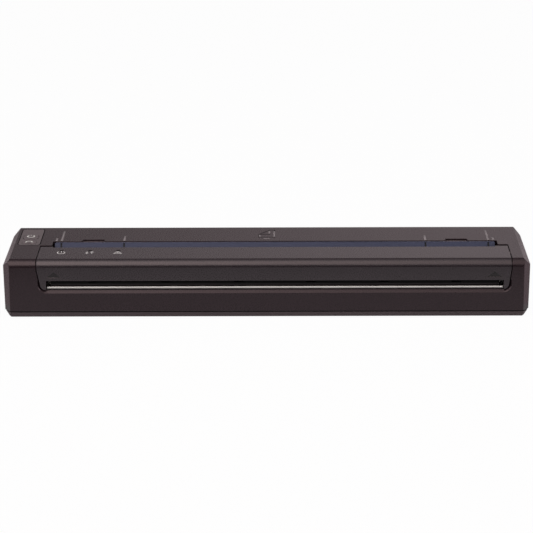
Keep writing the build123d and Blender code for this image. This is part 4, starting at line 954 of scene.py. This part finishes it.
# %% [markdown]
# ## Shade lines round the keys
# The plate lies in a narrow gap, and each key has a dark curved line in front of its sign. At this size
# both are read as thin dark lines of shade, which is painted: low lines in a black finish.

# %% Shade lines round the keys
SHADE_LINE, PLATE_GAP, PLATE_CORNER = 0.42 * MM, 0.15 * MM, 1.8 * MM
PLATE_RISE, KEY_SHADE_RISE = 0.02 * MM, 0.03 * MM
KEY_SHADE_BELOW, KEY_SHADE_SINK = 0.15 * MM, 0.1 * MM
POWER_BOW = [(-1.8, -2.75), (0, -3.1), (1.8, -2.75)]
FEED_BOW = [(-1.8, -1.65), (0, -2.0), (1.8, -1.65)]
shade_finish = moulded(
    "shade_line", (0.002, 0.0016, 0.0018), rough=0.8, grain=0.2, depth=0.004, edge=0.1, specular=0.03)


def rounded_path(low, high, radius):
    """The outline of a rounded rectangle, from four quarter arcs."""
    corners = [(high.x - radius, high.y - radius, 0), (low.x + radius, high.y - radius, 90)]
    corners += [(low.x + radius, low.y + radius, 180), (high.x - radius, low.y + radius, 270)]
    return np.vstack([arc((x, y), radius, start, start + 90, 6) for x, y, start in corners])


def key_shade_line(name, body, top, path):
    """A curved line of painted shade in front of the sign on a key whose plain top lies at the given level.
    """
    line = ridge(path, top - KEY_SHADE_BELOW, SHADE_LINE, KEY_SHADE_RISE, sink=KEY_SHADE_SINK)
    piece(name, [line], body, shade_finish)


plate_low, plate_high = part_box("keypad_plate")
gap = Vector((PLATE_GAP, PLATE_GAP, 0.0))
plate_path = rounded_path(plate_low - gap, plate_high + gap, PLATE_CORNER)
rim = ridge(plate_path, top_level, SHADE_LINE, PLATE_RISE, closed=True)
piece("keypad_gap", [rim], "base", shade_finish)
key_shade_line("power_shade_line", "power_key", power_top, placed(power_centre, POWER_BOW))
key_shade_line("feed_shade_line", "feed_key", feed_top, placed(feed_centre, FEED_BOW))

# %% [markdown]
# ## Lamp signs on the cover
# Three small lamps sit in the cover, each with a white sign in front of it: a power ring, two arrows
# for data, and a triangle for a fault. The signs are pad-printed, so they are thin ink lines too.

# %% Lamp signs
LAMP_INSET, SIGN_GAP, SIGN_LINE, SIGN_HEIGHT = 0.75 * MM, 3.0 * MM, 0.42 * MM, 0.025 * MM
LAMP_RING, ARROW_APART = 1.8 * MM, 1.2 * MM
FAULT = [(-1.9, -1.5), (1.9, -1.5), (0, 1.7)]
cover_top = top_of("release_cover")
lens_low, lens_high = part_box("light_guides")
lens_y = middle_of("light_guides", axis=1)
lamp_places = np.linspace(lens_low.x + LAMP_INSET, lens_high.x - LAMP_INSET, 3)
power_place, data_place, fault_place = [(x, lens_y - SIGN_GAP) for x in lamp_places]


def sign_line(path, closed=False):
    return ridge(path, cover_top, SIGN_LINE, SIGN_HEIGHT, closed=closed)


signs = [sign_line(arc(power_place, LAMP_RING, RING_START, RING_END, 24))]
signs.append(sign_line(placed(power_place, [(0, 0.4), (0, 2.3)])))
for turn in (-1, 1):
    middle = (data_place[0] + turn * ARROW_APART, data_place[1])
    signs.append(sign_line(placed(middle, [(0, -1.5 * turn), (0, 1.4 * turn)])))
    signs.append(sign_line(placed(middle, [(-0.8, 0.5 * turn), (0, 1.5 * turn), (0.8, 0.5 * turn)])))
signs.append(sign_line(placed(fault_place, FAULT), closed=True))
signs.append(sign_line(placed(fault_place, [(0, -0.7), (0, 0.5)])))
piece("lamp_signs", signs, "cover", white_ink)

# %% [markdown]
# ## Lamp rims
# Each window sits a little below the cover. The shade round it is painted: a low black ring round
# each window, which stays black from every side.

# %% Lamp rims
RIM_RADIUS, RIM_LINE, RIM_HEIGHT = 0.6 * MM, 0.7 * MM, 0.02 * MM
rim_paths = [arc((x, lens_y), RIM_RADIUS, 0, 345, 24) for x in lamp_places]
rims = [ridge(path, cover_top, RIM_LINE, RIM_HEIGHT, closed=True) for path in rim_paths]
piece("lamp_rims", rims, "cover", shade_finish)
